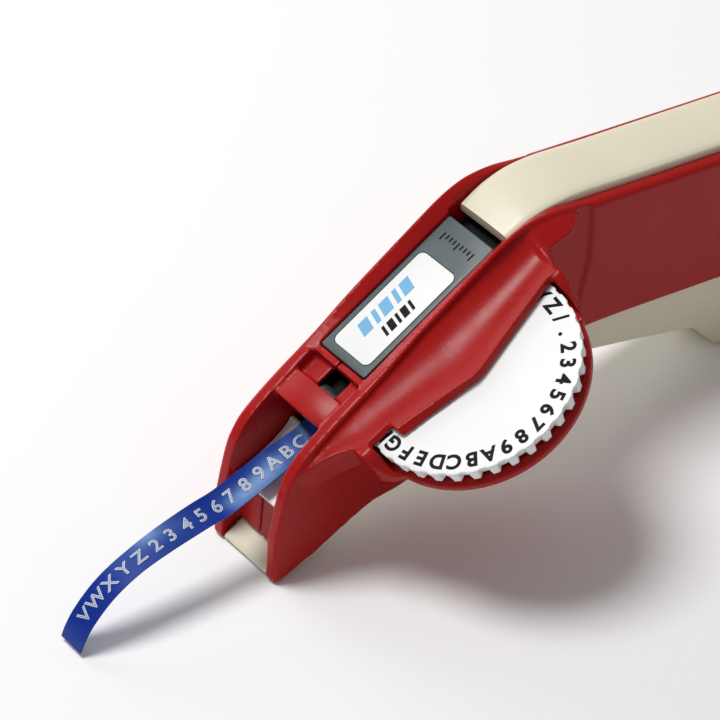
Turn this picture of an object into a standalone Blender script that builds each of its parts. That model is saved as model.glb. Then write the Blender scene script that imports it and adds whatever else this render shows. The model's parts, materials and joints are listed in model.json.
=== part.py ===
"""Hand-held embossing label maker.

The shapes are laid out in the head's own frame, in millimetres: X runs forward to the nose, Y towards
the character wheel, Z up out of the head's top face, and the wheel's top face is at Z = 0. An empty
named stance turns that frame nose-down and lifts it, so that the tool stands on its nose and on the
finger stop of its lever, with world +Z up.
"""

import math

import bmesh
import bpy
from mathutils import Matrix, Vector

MM = 0.001

# Stance: the whole tool leans nose-down by this angle, about the head's Y axis.
STANCE_TILT = math.radians(26.8)
NOSE_HEIGHT = 56.89
STANCE_SHIFT = (23.1, -22.8)

# Housing
HEAD_HALF = 13.95
GRIP_HALF = 14.85
HEAD_INNER = 10.05
GRIP_INNER = 12.15
SEAM = 0.1
GAP = 0.3

# Character wheel, on an axle beside the head
WHEEL_Y = 28.15
WHEEL_R = 32.0
WHEEL_TEETH = 36
WHEEL_DEEP = 3.2
POCKET_R = 32.9
FLANGE_R = 32.3
FLANGE_TOP = -5.6
FLANGE_BOTTOM = -8.8
AXLE_R = 2.0

# Joint axes: (x, z) of pins that run along Y
LEVER_PIN = (69.4, -26.5)
FEED_PIN = (29.5, -12.2)
PRESS_PIN = (29.5, -2.1)
ROLL_PIN = (-48.0, -24.5)
COVER_PIN = (-133.5, -61.6)

FEED_R = 6.5
PRESS_R = 2.6
ROLL_R = 17.5
ROLL_CORE_R = 9.6
TAPE_W = 9.0
TAPE_T = 0.35

# Centre line of the tape, (x, z): from the roll, between the wheel's discs and the rollers, and out
TAPE_LINE = [(-50.0, -6.4), (-24.0, -3.75), (0.0, -3.75), (22.0, -3.75), (29.5, -5.1), (35.0, -7.1),
             (40.5, -7.9), (46.0, -6.8), (52.0, -5.4), (61.5, -3.8), (70.0, -2.1), (77.0, 0.6),
             (88.0, 4.2), (97.5, 6.5), (105.0, 7.2), (111.5, 6.6), (118.0, 4.7), (122.2, 2.5),
             (125.0, 0.4)]
TAPE_ROLL_DEG = 16.0

# Top face of the cream cover over the tape bay and the grip, (x, z) at its side edges
COVER_LINE = [(-33.0, 4.6), (-38.0, 4.6), (-42.5, 4.1), (-48.5, 2.3), (-54.3, -0.5), (-60.0, -4.1),
              (-68.8, -10.6), (-79.6, -18.3), (-99.6, -32.4), (-120.0, -46.8), (-134.0, -56.7)]
COVER_HALF = 10.65
COVER_T = 2.5

# Side outlines, (x, z, corner radius)
BODY = [(74.9, -25.9, 0.6), (67.4, -13.7, 0), (60.9, -6.2, 0), (56.4, -1.6, 0), (53.2, 0.6, 0),
        (49.5, 2.4, 0), (44.0, 3.6, 0), (34.0, 4.6, 0), (19.0, 5.4, 0), (5.0, 6.9, 0),
        (-18.0, 8.2, 0), (-30.0, 8.6, 0), (-37.2, 7.7, 0), (-42.2, 5.9, 0), (-48.0, 2.5, 0),
        (-53.5, -1.9, 0), (-59.0, -6.3, 0), (-66.0, -13.0, 0), (-80.0, -26.0, 0), (-70.0, -70.0, 0),
        (-53.6, -58.6, 0), (-30.0, -47.0, 0), (20.0, -44.0, 0), (31.9, -40.0, 0), (45.0, -36.0, 0),
        (63.7, -28.4, 0), (72.2, -27.27, 0.6)]
GRIP = [(-57.0, -4.6, 0), (-80.3, -21.4, 0), (-144.5, -66.9, 7.0), (-116.8, -106.1, 2.0),
        (-79.1, -79.0, 0), (-53.6, -60.6, 0), (-33.0, -48.0, 0), (-33.0, -39.5, 0),
        (-41.1, -29.5, 6.0), (-48.6, -20.8, 0), (-55.0, -9.5, 3.0)]
# Everything below this line is cut away, so the shell is open where the lever closes it
BELLY = [(90.0, -60.0), (90.0, -24.0), (72.2, -27.27), (63.7, -28.4), (51.5, -29.3), (45.0, -29.9),
         (38.8, -31.0), (31.9, -34.1), (26.0, -35.9), (20.0, -36.4), (-22.0, -36.6), (-30.0, -38.4),
         (-38.7, -42.8), (-53.6, -53.0), (-79.1, -71.4), (-130.0, -107.7), (-130.0, -130.0),
         (-20.0, -130.0)]

# Lever: the arm inside the head, and the wider grip behind it, (x, z, corner radius)
ARM = [(66.6, -24.9, 0), (73.2, -24.9, 0.5), (74.2, -25.6, 0.3), (73.6, -26.0, 0.4),
       (70.3, -27.7, 0.8), (63.7, -28.1, 0), (51.5, -29.0, 0), (45.0, -29.6, 0), (38.8, -30.7, 0),
       (31.9, -33.7, 0), (26.0, -35.3, 0), (20.0, -36.0, 0), (-14.0, -36.2, 0), (-26.0, -39.5, 0),
       (-26.0, -35.0, 0), (-14.0, -32.6, 0), (24.0, -32.4, 0), (31.0, -30.4, 0), (38.8, -27.6, 0),
       (51.5, -26.0, 0)]
HANDLE = [(-15.5, -32.6, 1.5), (-30.0, -33.4, 0), (-38.7, -37.8, 0), (-53.6, -48.2, 0),
          (-79.1, -66.4, 0), (-113.5, -91.0, 3.0), (-119.0, -99.5, 6.0), (-112.5, -107.6, 6.0),
          (-97.0, -102.6, 9.0), (-88.0, -97.4, 3.5), (-83.2, -105.76, 3.5), (-69.4, -98.79, 2.5),
          (-65.6, -84.6, 3.5), (-49.0, -68.3, 0), (-37.5, -57.6, 8.0), (-17.5, -37.6, 3.0)]
HANDLE_HOLLOW = [(-10.0, -20.0, 0), (-19.0, -36.0, 1.5), (-38.5, -55.0, 6.0), (-50.0, -66.0, 0),
                 (-66.6, -81.9, 3.0), (-71.6, -95.6, 2.0), (-81.4, -100.6, 2.0), (-86.6, -93.9, 3.0),
                 (-97.0, -99.8, 6.0),
                 (-111.8, -104.6, 4.0), (-116.2, -99.2, 4.0), (-113.0, -80.0, 0), (-60.0, -30.0, 0)]
LEVER_HALF = 11.75
ARM_HALF = 9.6
LEVER_WALL = 2.0

SCREWS = [(47.0, -18.6), (-28.5, -15.5), (-92.0, -46.0), (-131.0, -72.5)]
SCREW_R = 1.0
SCREW_HEAD_R = 2.4

RED = (0.45, 0.012, 0.014)
CREAM = (0.78, 0.74, 0.60)
WHITE = (0.88, 0.88, 0.87)
SLATE = (0.085, 0.125, 0.14)
STEEL = (0.55, 0.56, 0.58)
DARK = (0.03, 0.03, 0.035)
BLUE = (0.006, 0.016, 0.24)


# ---------------------------------------------------------------- scene and materials

def clear_scene():
    for obj in list(bpy.data.objects):
        bpy.data.objects.remove(obj, do_unlink=True)


def new_collection(name):
    made = bpy.data.collections.new(name)
    bpy.context.scene.collection.children.link(made)
    return made


def plastic(name, colour, roughness=0.35, metallic=0.0):
    mat = bpy.data.materials.new(name)
    mat.use_nodes = True
    shader = mat.node_tree.nodes["Principled BSDF"]
    shader.inputs["Base Color"].default_value = (*colour, 1.0)
    shader.inputs["Roughness"].default_value = roughness
    shader.inputs["Metallic"].default_value = metallic
    return mat


def add_object(name, mesh, group, stance):
    obj = bpy.data.objects.new(name, mesh)
    group.objects.link(obj)
    obj.parent = stance
    return obj


def finish(obj, mat, pivot=(0.0, 0.0, 0.0)):
    """Gives the object its material and moves its origin to the pivot, in millimetres."""
    mesh = obj.data
    mesh.materials.clear()
    mesh.materials.append(mat)
    mesh.shade_smooth()
    mesh.set_sharp_from_angle(angle=math.radians(32.0))
    offset = Vector(pivot) * MM
    mesh.transform(Matrix.Translation(-offset))
    obj.location = offset
    return obj


def boolean(obj, other, operation, solver="EXACT"):
    mod = obj.modifiers.new(operation.lower() + "_" + other.name, "BOOLEAN")
    mod.operation = operation
    mod.solver = solver
    mod.object = other


def bevel(obj, width, segments=2, angle=35.0):
    mod = obj.modifiers.new("round_edges", "BEVEL")
    mod.width = width * MM
    mod.segments = segments
    mod.limit_method = "ANGLE"
    mod.angle_limit = math.radians(angle)
    mod.use_clamp_overlap = True


# ---------------------------------------------------------------- shapes

def rounded(points, steps=4):
    """A closed outline of (x, z, radius) corners, with each corner that has a radius turned into an arc."""
    made = []
    for i, (x, z, radius) in enumerate(points):
        corner = Vector((x, z))
        if radius <= 0.0:
            made.append(corner)
            continue
        before = (Vector(points[i - 1][:2]) - corner).normalized()
        after = (Vector(points[(i + 1) % len(points)][:2]) - corner).normalized()
        half = before.angle(after) / 2.0
        reach = radius / math.tan(half)
        centre = corner + (before + after).normalized() * (radius / math.sin(half))
        first = corner + before * reach - centre
        turn = first.angle_signed(corner + after * reach - centre)
        for k in range(steps + 1):
            made.append(centre + Matrix.Rotation(-turn * k / steps, 2) @ first)
    return made


def smooth_line(points, steps):
    """A Catmull-Rom line through the points, with this many steps to each span."""
    line = []
    last = len(points) - 1
    for i in range(last):
        p0 = Vector(points[max(i - 1, 0)])
        p1 = Vector(points[i])
        p2 = Vector(points[i + 1])
        p3 = Vector(points[min(i + 2, last)])
        for k in range(steps):
            t = k / steps
            line.append(0.5 * (2 * p1 + (p2 - p0) * t + (2 * p0 - 5 * p1 + 4 * p2 - p3) * t * t
                               + (3 * p1 - p0 - 3 * p2 + p3) * t ** 3))
    line.append(Vector(points[last]))
    return line


def normals_of(line):
    """The upward normal at each point of a line of (x, z) points."""
    found = []
    for i in range(len(line)):
        along = (line[min(i + 1, len(line) - 1)] - line[max(i - 1, 0)]).normalized()
        normal = Vector((-along.y, along.x))
        found.append(normal if normal.y > 0 else -normal)
    return found


class Shop:
    """Makes solids in the head frame, in millimetres, and puts them in their collection."""

    def __init__(self, parts, cutters, stance):
        self.parts = parts
        self.cutters = cutters
        self.stance = stance
        self.solver = "EXACT"

    def place(self, name, mesh, cutter):
        obj = add_object(name, mesh, self.cutters if cutter else self.parts, self.stance)
        if cutter:
            obj.hide_render = True
            obj.display_type = "WIRE"
        return obj

    def extruded(self, name, points, low, high, plan=False, cutter=False):
        """A flat outline, filled and extruded: (x, z) along Y, or with plan=True (x, y) along Z."""
        curve = bpy.data.curves.new(name, "CURVE")
        curve.dimensions = "2D"
        curve.fill_mode = "BOTH"
        curve.extrude = (high - low) / 2.0 * MM
        spline = curve.splines.new("POLY")
        spline.points.add(len(points) - 1)
        for slot, point in zip(spline.points, points):
            slot.co = (point[0] * MM, point[1] * MM, 0.0, 1.0)
        spline.use_cyclic_u = True
        guide = bpy.data.objects.new(name + "_outline", curve)
        self.cutters.objects.link(guide)
        graph = bpy.context.evaluated_depsgraph_get()
        mesh = bpy.data.meshes.new_from_object(guide.evaluated_get(graph))
        bpy.data.objects.remove(guide)
        middle = (high + low) / 2.0 * MM
        if plan:
            mesh.transform(Matrix.Translation((0.0, 0.0, middle)))
        else:
            upright = Matrix.Rotation(math.radians(90), 4, "X")
            mesh.transform(Matrix.Translation((0.0, middle, 0.0)) @ upright)
        tidy(mesh)
        return self.place(name, mesh, cutter)

    def box(self, name, low, high, cutter=False):
        mesh = bpy.data.meshes.new(name)
        work = bmesh.new()
        bmesh.ops.create_cube(work, size=1.0)
        for vert in work.verts:
            for axis in range(3):
                middle = (low[axis] + high[axis]) / 2.0
                vert.co[axis] = (middle + vert.co[axis] * (high[axis] - low[axis])) * MM
        work.to_mesh(mesh)
        work.free()
        return self.place(name, mesh, cutter)

    def rod(self, name, centre, radius, low, high, axis="Y", sides=24, cutter=False, top_radius=None):
        """A cylinder or cone along Y at (x, z), or along Z at (x, y), from low to high."""
        mesh = bpy.data.meshes.new(name)
        work = bmesh.new()
        end = radius if top_radius is None else top_radius
        bmesh.ops.create_cone(work, cap_ends=True, segments=sides, radius1=radius * MM,
                              radius2=end * MM, depth=(high - low) * MM)
        work.to_mesh(mesh)
        work.free()
        middle = (low + high) / 2.0
        if axis == "Y":
            mesh.transform(Matrix.Rotation(math.radians(-90), 4, "X"))
            mesh.transform(Matrix.Translation(Vector((centre[0], middle, centre[1])) * MM))
        else:
            mesh.transform(Matrix.Translation(Vector((centre[0], centre[1], middle)) * MM))
        return self.place(name, mesh, cutter)

    def turned(self, name, profile, centre, axis="Y", steps=32, cutter=False):
        """A closed (radius, height) profile turned about an axis along Y at (x, z) or Z at (x, y)."""
        mesh = bpy.data.meshes.new(name)
        work = bmesh.new()
        rings = []
        for k in range(steps):
            angle = 2.0 * math.pi * k / steps
            rings.append([work.verts.new((r * math.cos(angle) * MM, r * math.sin(angle) * MM, h * MM))
                          for r, h in profile])
        join_rings(work, rings, closed=True)
        work.to_mesh(mesh)
        work.free()
        if axis == "Y":
            mesh.transform(Matrix.Rotation(math.radians(-90), 4, "X"))
            mesh.transform(Matrix.Translation(Vector((centre[0], 0.0, centre[1])) * MM))
        else:
            mesh.transform(Matrix.Translation(Vector((centre[0], centre[1], 0.0)) * MM))
        return self.place(name, mesh, cutter)

    def loft(self, name, sections, cutter=False):
        """A solid through rings of (x, y, z) points, each ring with the same number of points."""
        mesh = bpy.data.meshes.new(name)
        work = bmesh.new()
        rings = [[work.verts.new(Vector(point) * MM) for point in ring] for ring in sections]
        join_rings(work, rings, closed=False)
        work.to_mesh(mesh)
        work.free()
        return self.place(name, mesh, cutter)

    def spring(self, name, centre, radius, wire, low, high, turns, sides=10):
        """A helical spring along Z at (x, y), as a bevelled curve made into a mesh."""
        curve = bpy.data.curves.new(name, "CURVE")
        curve.dimensions = "3D"
        curve.bevel_depth = wire * MM
        curve.bevel_resolution = 1
        curve.use_fill_caps = True
        spline = curve.splines.new("POLY")
        count = turns * sides
        spline.points.add(count)
        for k, slot in enumerate(spline.points):
            angle = 2.0 * math.pi * k / sides
            height = low + (high - low) * k / count
            slot.co = ((centre[0] + radius * math.cos(angle)) * MM,
                       (centre[1] + radius * math.sin(angle)) * MM, height * MM, 1.0)
        guide = bpy.data.objects.new(name + "_line", curve)
        self.cutters.objects.link(guide)
        graph = bpy.context.evaluated_depsgraph_get()
        mesh = bpy.data.meshes.new_from_object(guide.evaluated_get(graph))
        bpy.data.objects.remove(guide)
        tidy(mesh)
        return self.place(name, mesh, False)

    def cut(self, obj, cutter):
        boolean(obj, cutter, "DIFFERENCE", self.solver)

    def join(self, obj, other):
        boolean(obj, other, "UNION", self.solver)


def join_rings(work, rings, closed):
    """Faces between neighbouring rings; closed rings go round, open ones get a cap at each end."""
    count = len(rings[0])
    spans = len(rings) if closed else len(rings) - 1
    for i in range(spans):
        ring = rings[i]
        following = rings[(i + 1) % len(rings)]
        for k in range(count):
            n = (k + 1) % count
            work.faces.new((ring[k], ring[n], following[n], following[k]))
    if not closed:
        work.faces.new(rings[0])
        work.faces.new(rings[-1])
    bmesh.ops.recalc_face_normals(work, faces=work.faces)


def tidy(mesh):
    work = bmesh.new()
    work.from_mesh(mesh)
    bmesh.ops.remove_doubles(work, verts=work.verts, dist=0.005 * MM)
    bmesh.ops.dissolve_limit(work, angle_limit=math.radians(0.5), verts=[], edges=work.edges)
    bmesh.ops.recalc_face_normals(work, faces=work.faces)
    work.to_mesh(mesh)
    work.free()


# ---------------------------------------------------------------- housing

def cover_band(drop, reach=0.0):
    """The cover's top line moved down by drop, from the head to the tool's rear end."""
    line = smooth_line(COVER_LINE, 2)
    moved = [p - n * drop for p, n in zip(line, normals_of(line))]
    if reach:
        along = (moved[-1] - moved[-2]).normalized()
        moved.append(moved[-1] + along * reach)
    return moved


def make_rail_cutter(shop, name, side):
    """What the inward slope of a side rail leaves out, (x, height at the inside, height at the outside)."""
    rows = [(24.0, 4.9, 5.2), (16.0, 5.1, 5.7), (5.0, 5.2, 7.0), (-18.0, 5.3, 8.3), (-30.0, 5.3, 8.7),
            (-37.2, 5.0, 7.8), (-42.2, 4.2, 6.0), (-48.0, 2.3, 2.6)]
    rings = [[(x, side * 9.4, inner - 0.3), (x, side * 13.1, outer), (x, side * 14.5, 14.0),
              (x, side * 9.4, 14.0)]
             for x, inner, outer in rows]
    return shop.loft(name, rings, cutter=True)


def make_housing_cutters(shop):
    """Cutters that both halves share, in the order in which they are used."""
    roof = [(p.x, p.y) for p in cover_band(COVER_T + 2.0)]
    head_room = [(38.3, 15.0), (90.0, 15.0), (90.0, -60.0), (-60.0, -60.0), roof[8], *reversed(roof[1:8]),
                 (-31.0, 0.8), (38.3, 0.8)]
    grip_room = [(-14.0, -10.0), (-14.0, -140.0), (-122.0, -140.0), (-118.3, -99.6), (-139.6, -69.4),
                 *[(p.x, p.y) for p in reversed(cover_band(COVER_T + 3.4)[9:])], (-57.0, -12.6),
                 (-48.0, -10.0)]
    bay_line = cover_band(COVER_T + GAP, 3.0)
    bay = [(-32.6, 30.0), (-32.6, bay_line[0].y), *[(p.x, p.y) for p in bay_line],
           (bay_line[-1].x - 10.0, 30.0)]
    return [
        make_rail_cutter(shop, "rail_cutter_left", 1.0),
        make_rail_cutter(shop, "rail_cutter_right", -1.0),
        shop.extruded("belly_cutter", BELLY, -40.0, 40.0, cutter=True),
        shop.extruded("head_room_cutter", head_room, -HEAD_INNER, HEAD_INNER, cutter=True),
        shop.extruded("grip_room_cutter", grip_room, -GRIP_INNER, GRIP_INNER, cutter=True),
        shop.extruded("cover_seat_cutter", bay, -COVER_HALF - GAP, COVER_HALF + GAP, cutter=True),
        shop.box("tape_bay_cutter", (-68.0, -8.6, -30.0), (-33.0, 8.6, 20.0), cutter=True),
        shop.box("thumb_gap_cutter", (-34.2, -10.3, -8.0), (-29.2, 10.3, 20.0), cutter=True),
        shop.box("panel_seat_cutter", (-29.3, -9.7, 2.6), (20.8, 9.7, 20.0), cutter=True),
        shop.box("panel_well_cutter", (-26.0, -7.6, -2.0), (18.0, 7.6, 20.0), cutter=True),
        shop.box("rib_top_cutter", (20.5, -HEAD_INNER, 4.7), (23.0, HEAD_INNER, 20.0), cutter=True),
        shop.box("bridge_top_cutter", (22.8, -HEAD_INNER, 4.0), (39.0, HEAD_INNER, 20.0), cutter=True),
        shop.box("window_recess_cutter", (22.8, -9.9, 1.9), (29.5, 9.8, 20.0), cutter=True),
        shop.box("window_hole_cutter", (22.8, -2.65, -3.0), (29.5, 4.95, 20.0), cutter=True),
        shop.box("cover_ear_cutter", (-139.0, -6.6, -72.0), (-127.0, 6.6, -50.0), cutter=True),
        shop.rod("lever_pin_cutter", LEVER_PIN, 1.1, -12.6, 12.6, sides=16, cutter=True),
        shop.rod("feed_pin_cutter", FEED_PIN, 1.5, -11.7, 11.7, sides=16, cutter=True),
        shop.rod("press_pin_cutter", PRESS_PIN, 1.15, -11.7, 11.7, sides=16, cutter=True),
        shop.rod("cover_pin_cutter", COVER_PIN, 1.05, -9.2, 9.2, sides=16, cutter=True),
    ]


def make_housing_half(shop, name, side, cutters, left_extras, pocket):
    """One moulded half: the outer walls, hollowed, with its bosses, cut at the middle plane."""
    shell = shop.extruded(name, rounded(BODY), -HEAD_HALF, HEAD_HALF)
    bevel(shell, 1.3, segments=2, angle=50.0)
    grip = shop.extruded(name + "_grip_form", rounded(GRIP), -GRIP_HALF, GRIP_HALF, cutter=True)
    bevel(grip, 3.2, segments=3, angle=50.0)
    shop.join(shell, grip)
    for extra in left_extras:
        shop.join(shell, extra)
    for cutter in cutters:
        shop.cut(shell, cutter)
    wall = shop.extruded(name + "_front_wall", [(59.5, -11.6), (67.2, -23.9), (63.7, -23.9), (56.3, -11.6)],
                         -HEAD_INNER - 0.5, HEAD_INNER + 0.5, cutter=True)
    shop.join(shell, wall)
    for number, (x, z) in enumerate(SCREWS):
        boss = shop.rod(f"{name}_boss_{number}", (x, z), 2.9, -GRIP_INNER - 0.8, GRIP_INNER + 0.8,
                        sides=16, cutter=True)
        shop.join(shell, boss)
    half = shop.box(name + "_seam_cutter", (-200.0, -60.0, -150.0), (120.0, SEAM, 60.0), cutter=True)
    if side < 0:
        half.data.transform(Matrix.Scale(-1.0, 4, (0.0, 1.0, 0.0)))
        half.data.flip_normals()
    shop.cut(shell, half)
    for number, (x, z) in enumerate(SCREWS):
        face = HEAD_HALF if x > -50.0 else GRIP_HALF
        if side < 0:
            shaft = shop.rod(f"screw_way_{number}", (x, z), SCREW_R + 0.25, -20.0, 5.0, sides=12,
                             cutter=True)
            seat = shop.rod(f"screw_seat_{number}", (x, z), SCREW_HEAD_R + 0.3, -20.0, 2.3 - face,
                            sides=16, cutter=True)
            shop.cut(shell, shaft)
            shop.cut(shell, seat)
        else:
            thread = shop.rod(f"screw_hole_{number}", (x, z), SCREW_R + 0.25, -5.0, 8.6, sides=12,
                              cutter=True)
            shop.cut(shell, thread)
    if pocket:
        for piece in pocket["join"]:
            shop.join(shell, piece)
        for piece in pocket["cut"]:
            shop.cut(shell, piece)
    return shell


def valley(y_wall, z_wall, y_ridge, z_ridge, dish, count=7):
    """The top of the wheel guard, from the head's wall out to its ridge: dished, or a plain slope."""
    low = min(1.6, z_ridge)
    points = []
    for k in range(count):
        t = k / (count - 1)
        dished = low + (z_wall - low) * (1.0 - t) ** 3 + (z_ridge - low) * t ** 2
        plain = z_wall + (z_ridge - z_wall) * t
        points.append((y_wall + (y_ridge - y_wall) * t, plain + (dished - plain) * dish))
    return points


def make_guard_cover(shop, inner):
    """The part over the wheel's inner half: x, y and z of the ridge, y of the edge, z at the wall."""
    rows = [(25.1, 27.4, 2.7, 29.6, 4.0), (12.0, 30.6, 3.0, 31.9, 5.0), (0.8, 33.4, 3.1, 33.9, 6.0),
            (-1.4, 33.4, 3.1, 33.9, 6.1), (-12.0, 31.3, 3.1, 31.9, 6.8), (-23.0, 29.3, 3.1, 29.8, 7.2),
            (-34.8, 27.2, 3.1, 27.6, 7.4)]
    rings = []
    for x, y_ridge, z_ridge, y_edge, z_wall in rows:
        top = valley(inner, z_wall, y_ridge, z_ridge, 1.0)
        rings.append([(x, y, z) for y, z in top] + [(x, y_edge, 0.5), (x, inner, 0.5)])
    return shop.loft("guard_cover_form", rings, cutter=True)


def make_guard_front(shop, inner):
    """The fairing ahead of the cover: x, y and z of the ridge, z at the wall, reach of the notch."""
    rows = [(52.0, 13.6, 1.0, 1.0, 0.2), (47.0, 15.6, 1.3, 2.2, 0.2), (42.0, 17.8, 1.9, 3.0, 0.2),
            (38.0, 20.2, 2.3, 3.3, 0.2), (35.6, 22.0, 2.6, 3.5, 0.4), (33.4, 23.3, 2.6, 3.6, 1.0),
            (31.0, 23.6, 2.3, 3.7, 1.6), (25.0, 23.7, 1.9, 3.9, 1.6)]
    rings = []
    for x, y_ridge, z_ridge, z_wall, reach in rows:
        top = valley(inner, z_wall, y_ridge, z_ridge, 1.0)
        foot = inner + (y_ridge - inner) * 0.75
        rings.append([(x, y, z) for y, z in top] + [(x, y_ridge + reach, z_ridge - 2.4),
                                                   (x, foot, FLANGE_BOTTOM + 0.4),
                                                   (x, inner, FLANGE_BOTTOM - 2.0)])
    return shop.loft("guard_front_form", rings, cutter=True)


def make_guard_block(shop):
    """The lug beside the notch, which falls away to the flange."""
    plan = [(32.9, 17.0), (36.0, 17.0), (36.8, 24.0), (36.4, 28.4), (34.4, 31.4), (31.9, 33.4),
            (28.0, 33.8), (28.0, 30.0), (32.9, 28.4)]
    block = shop.extruded("guard_block_form", plan, FLANGE_BOTTOM + 0.5, 2.8, plan=True, cutter=True)
    fall = [(15.0, 0.5), (19.0, 1.6), (22.0, 2.6), (25.0, 2.7), (26.8, 1.7), (28.2, -0.1), (29.6, -2.6),
            (31.4, -4.8), (34.0, -6.0), (50.0, -7.0), (50.0, 12.0), (15.0, 12.0)]
    slope = shop.extruded("guard_slope_cutter", fall, 20.0, 60.0, cutter=True)
    turn_to_yz(slope)
    boolean(block, slope, "DIFFERENCE")
    return block


def make_guard_flare(shop, inner):
    """The band behind the cover, leaning out: x, y and z of its edge, z at the wall, dish."""
    rows = [(-33.5, 27.3, 3.1, 7.4, 1.0), (-35.3, 27.2, 3.0, 7.3, 1.0), (-36.4, 25.2, 2.8, 7.1, 0.8),
            (-37.6, 22.6, 2.4, 6.9, 0.45), (-38.9, 20.4, 1.6, 6.7, 0.15), (-41.0, 19.8, 0.9, 6.0, 0.0),
            (-44.0, 19.4, -0.4, 4.6, 0.0), (-47.6, 18.8, -1.9, 2.4, 0.0), (-49.5, 17.3, -2.4, 1.1, 0.0),
            (-53.0, 14.6, -3.4, -1.8, 0.0)]
    rings = []
    for x, y_edge, z_edge, z_wall, dish in rows:
        top = valley(inner, z_wall, y_edge, z_edge, dish)
        rings.append([(x, y, z) for y, z in top] + [(x, y_edge, z_edge - 1.2),
                                                    (x, inner + 1.0, z_edge - 3.6),
                                                   (x, inner, z_edge - 3.6)])
    return shop.loft("guard_flare_form", rings, cutter=True)


def make_guard_fin(shop):
    """The wall round the wheel's rim at the rear, in two heights: above the flange and beside it."""
    fall = [(10.0, -2.0), (22.0, 0.4), (26.2, 1.6), (27.2, 2.9), (29.0, 2.5), (34.0, -2.0), (41.0, -6.3),
            (60.0, -6.3), (60.0, 20.0), (10.0, 20.0)]
    slope = shop.extruded("guard_fin_cutter", fall, -60.0, -20.0, cutter=True)
    turn_to_yz(slope)
    fin = shop.extruded("guard_fin_form", fin_outline(POCKET_R), FLANGE_TOP - 0.1, 3.0, plan=True,
                        cutter=True)
    foot = shop.extruded("guard_fin_foot_form", fin_outline(31.0), FLANGE_BOTTOM + 0.4, FLANGE_TOP + 0.2,
                         plan=True, cutter=True)
    for piece in (fin, foot):
        boolean(piece, slope, "DIFFERENCE")
    return [fin, foot]


def make_wheel_guard(shop):
    """The red cover over the inner half of the wheel, and what blends it into the housing."""
    inner = 12.4
    return [make_guard_cover(shop, inner), make_guard_front(shop, inner), make_guard_block(shop),
            make_guard_flare(shop, inner), *make_guard_fin(shop)]


def fin_outline(inner_radius):
    """Plan of the wall that follows the wheel's rim at the rear, thinning out towards the free side."""
    outer = [(206.0, 36.4), (198.0, 36.3), (190.0, 36.2), (182.0, 36.2), (176.0, 35.9), (171.5, 34.5),
             (166.0, 33.4), (160.0, 33.0)]
    points = [(radius * math.cos(math.radians(angle)), WHEEL_Y + radius * math.sin(math.radians(angle)))
              for angle, radius in outer]
    back = [(inner_radius * math.cos(math.radians(angle)),
             WHEEL_Y + inner_radius * math.sin(math.radians(angle)))
            for angle, _ in reversed(outer)]
    return points + back


def turn_to_yz(obj):
    """Turns an (x, z) outline extruded along Y into a (y, z) outline extruded along X."""
    obj.data.transform(Matrix(((0, 1, 0, 0), (1, 0, 0, 0), (0, 0, 1, 0), (0, 0, 0, 1))))
    obj.data.flip_normals()


def make_wheel_pocket(shop):
    flange_profile = [(0.05, FLANGE_TOP), (30.6, FLANGE_TOP), (31.9, -6.0), (FLANGE_R, -6.7),
                      (FLANGE_R, -8.2),
                      (31.7, FLANGE_BOTTOM), (5.2, FLANGE_BOTTOM), (4.6, -11.6), (0.05, -11.6)]
    flange = shop.turned("guard_flange_form", list(reversed(flange_profile)), (0.0, WHEEL_Y), axis="Z",
                         steps=72, cutter=True)
    pocket = shop.rod("wheel_pocket_cutter", (0.0, WHEEL_Y), POCKET_R, -5.45, 0.5, axis="Z", sides=72,
                      cutter=True)
    guide = shop.rod("ram_guide_form", (0.0, 0.0), 4.1, -15.3, FLANGE_BOTTOM + 0.5, axis="Z", sides=20,
                     cutter=True)
    spring_seat = shop.rod("spring_seat_form", (-13.0, 4.0), 2.2, -11.4, FLANGE_BOTTOM + 0.5, axis="Z",
                           sides=16, cutter=True)
    ram_way = shop.rod("ram_way_cutter", (0.0, 0.0), 2.8, -20.0, 0.0, axis="Z", sides=20, cutter=True)
    axle_way = shop.rod("wheel_axle_cutter", (0.0, WHEEL_Y), AXLE_R + 0.2, -10.6, 1.7, axis="Z", sides=20,
                        cutter=True)
    return {"join": [flange, guide, spring_seat], "cut": [pocket, ram_way, axle_way]}


def make_housing(shop, red):
    shop.solver = "MANIFOLD"
    guard = make_wheel_guard(shop)
    pocket = make_wheel_pocket(shop)
    cutters = make_housing_cutters(shop)
    left = make_housing_half(shop, "housing_left", 1, cutters, guard, pocket)
    right = make_housing_half(shop, "housing_right", -1, cutters, [], None)
    finish(left, red)
    finish(right, red)
    shop.solver = "EXACT"


def make_screws(shop, steel):
    """Self-tapping screws, driven in from the right-hand side."""
    for number, (x, z) in enumerate(SCREWS):
        face = HEAD_HALF if x > -50.0 else GRIP_HALF
        head = 2.1 - face
        profile = [(0.05, head - 1.5), (SCREW_HEAD_R - 0.5, head - 1.5), (SCREW_HEAD_R, head - 1.0),
                   (SCREW_R, head), (SCREW_R, 7.4), (0.05, 8.2)]
        screw = shop.turned(f"housing_screw_{number + 1}", list(reversed(profile)), (x, z), steps=16)
        slot = shop.box(f"screw_slot_{number}", (x - 1.6, head - 2.0, z - 0.3),
                        (x + 1.6, head - 0.9, z + 0.3),
                        cutter=True)
        shop.cut(screw, slot)
        finish(screw, steel)


# ---------------------------------------------------------------- trim and covers

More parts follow.
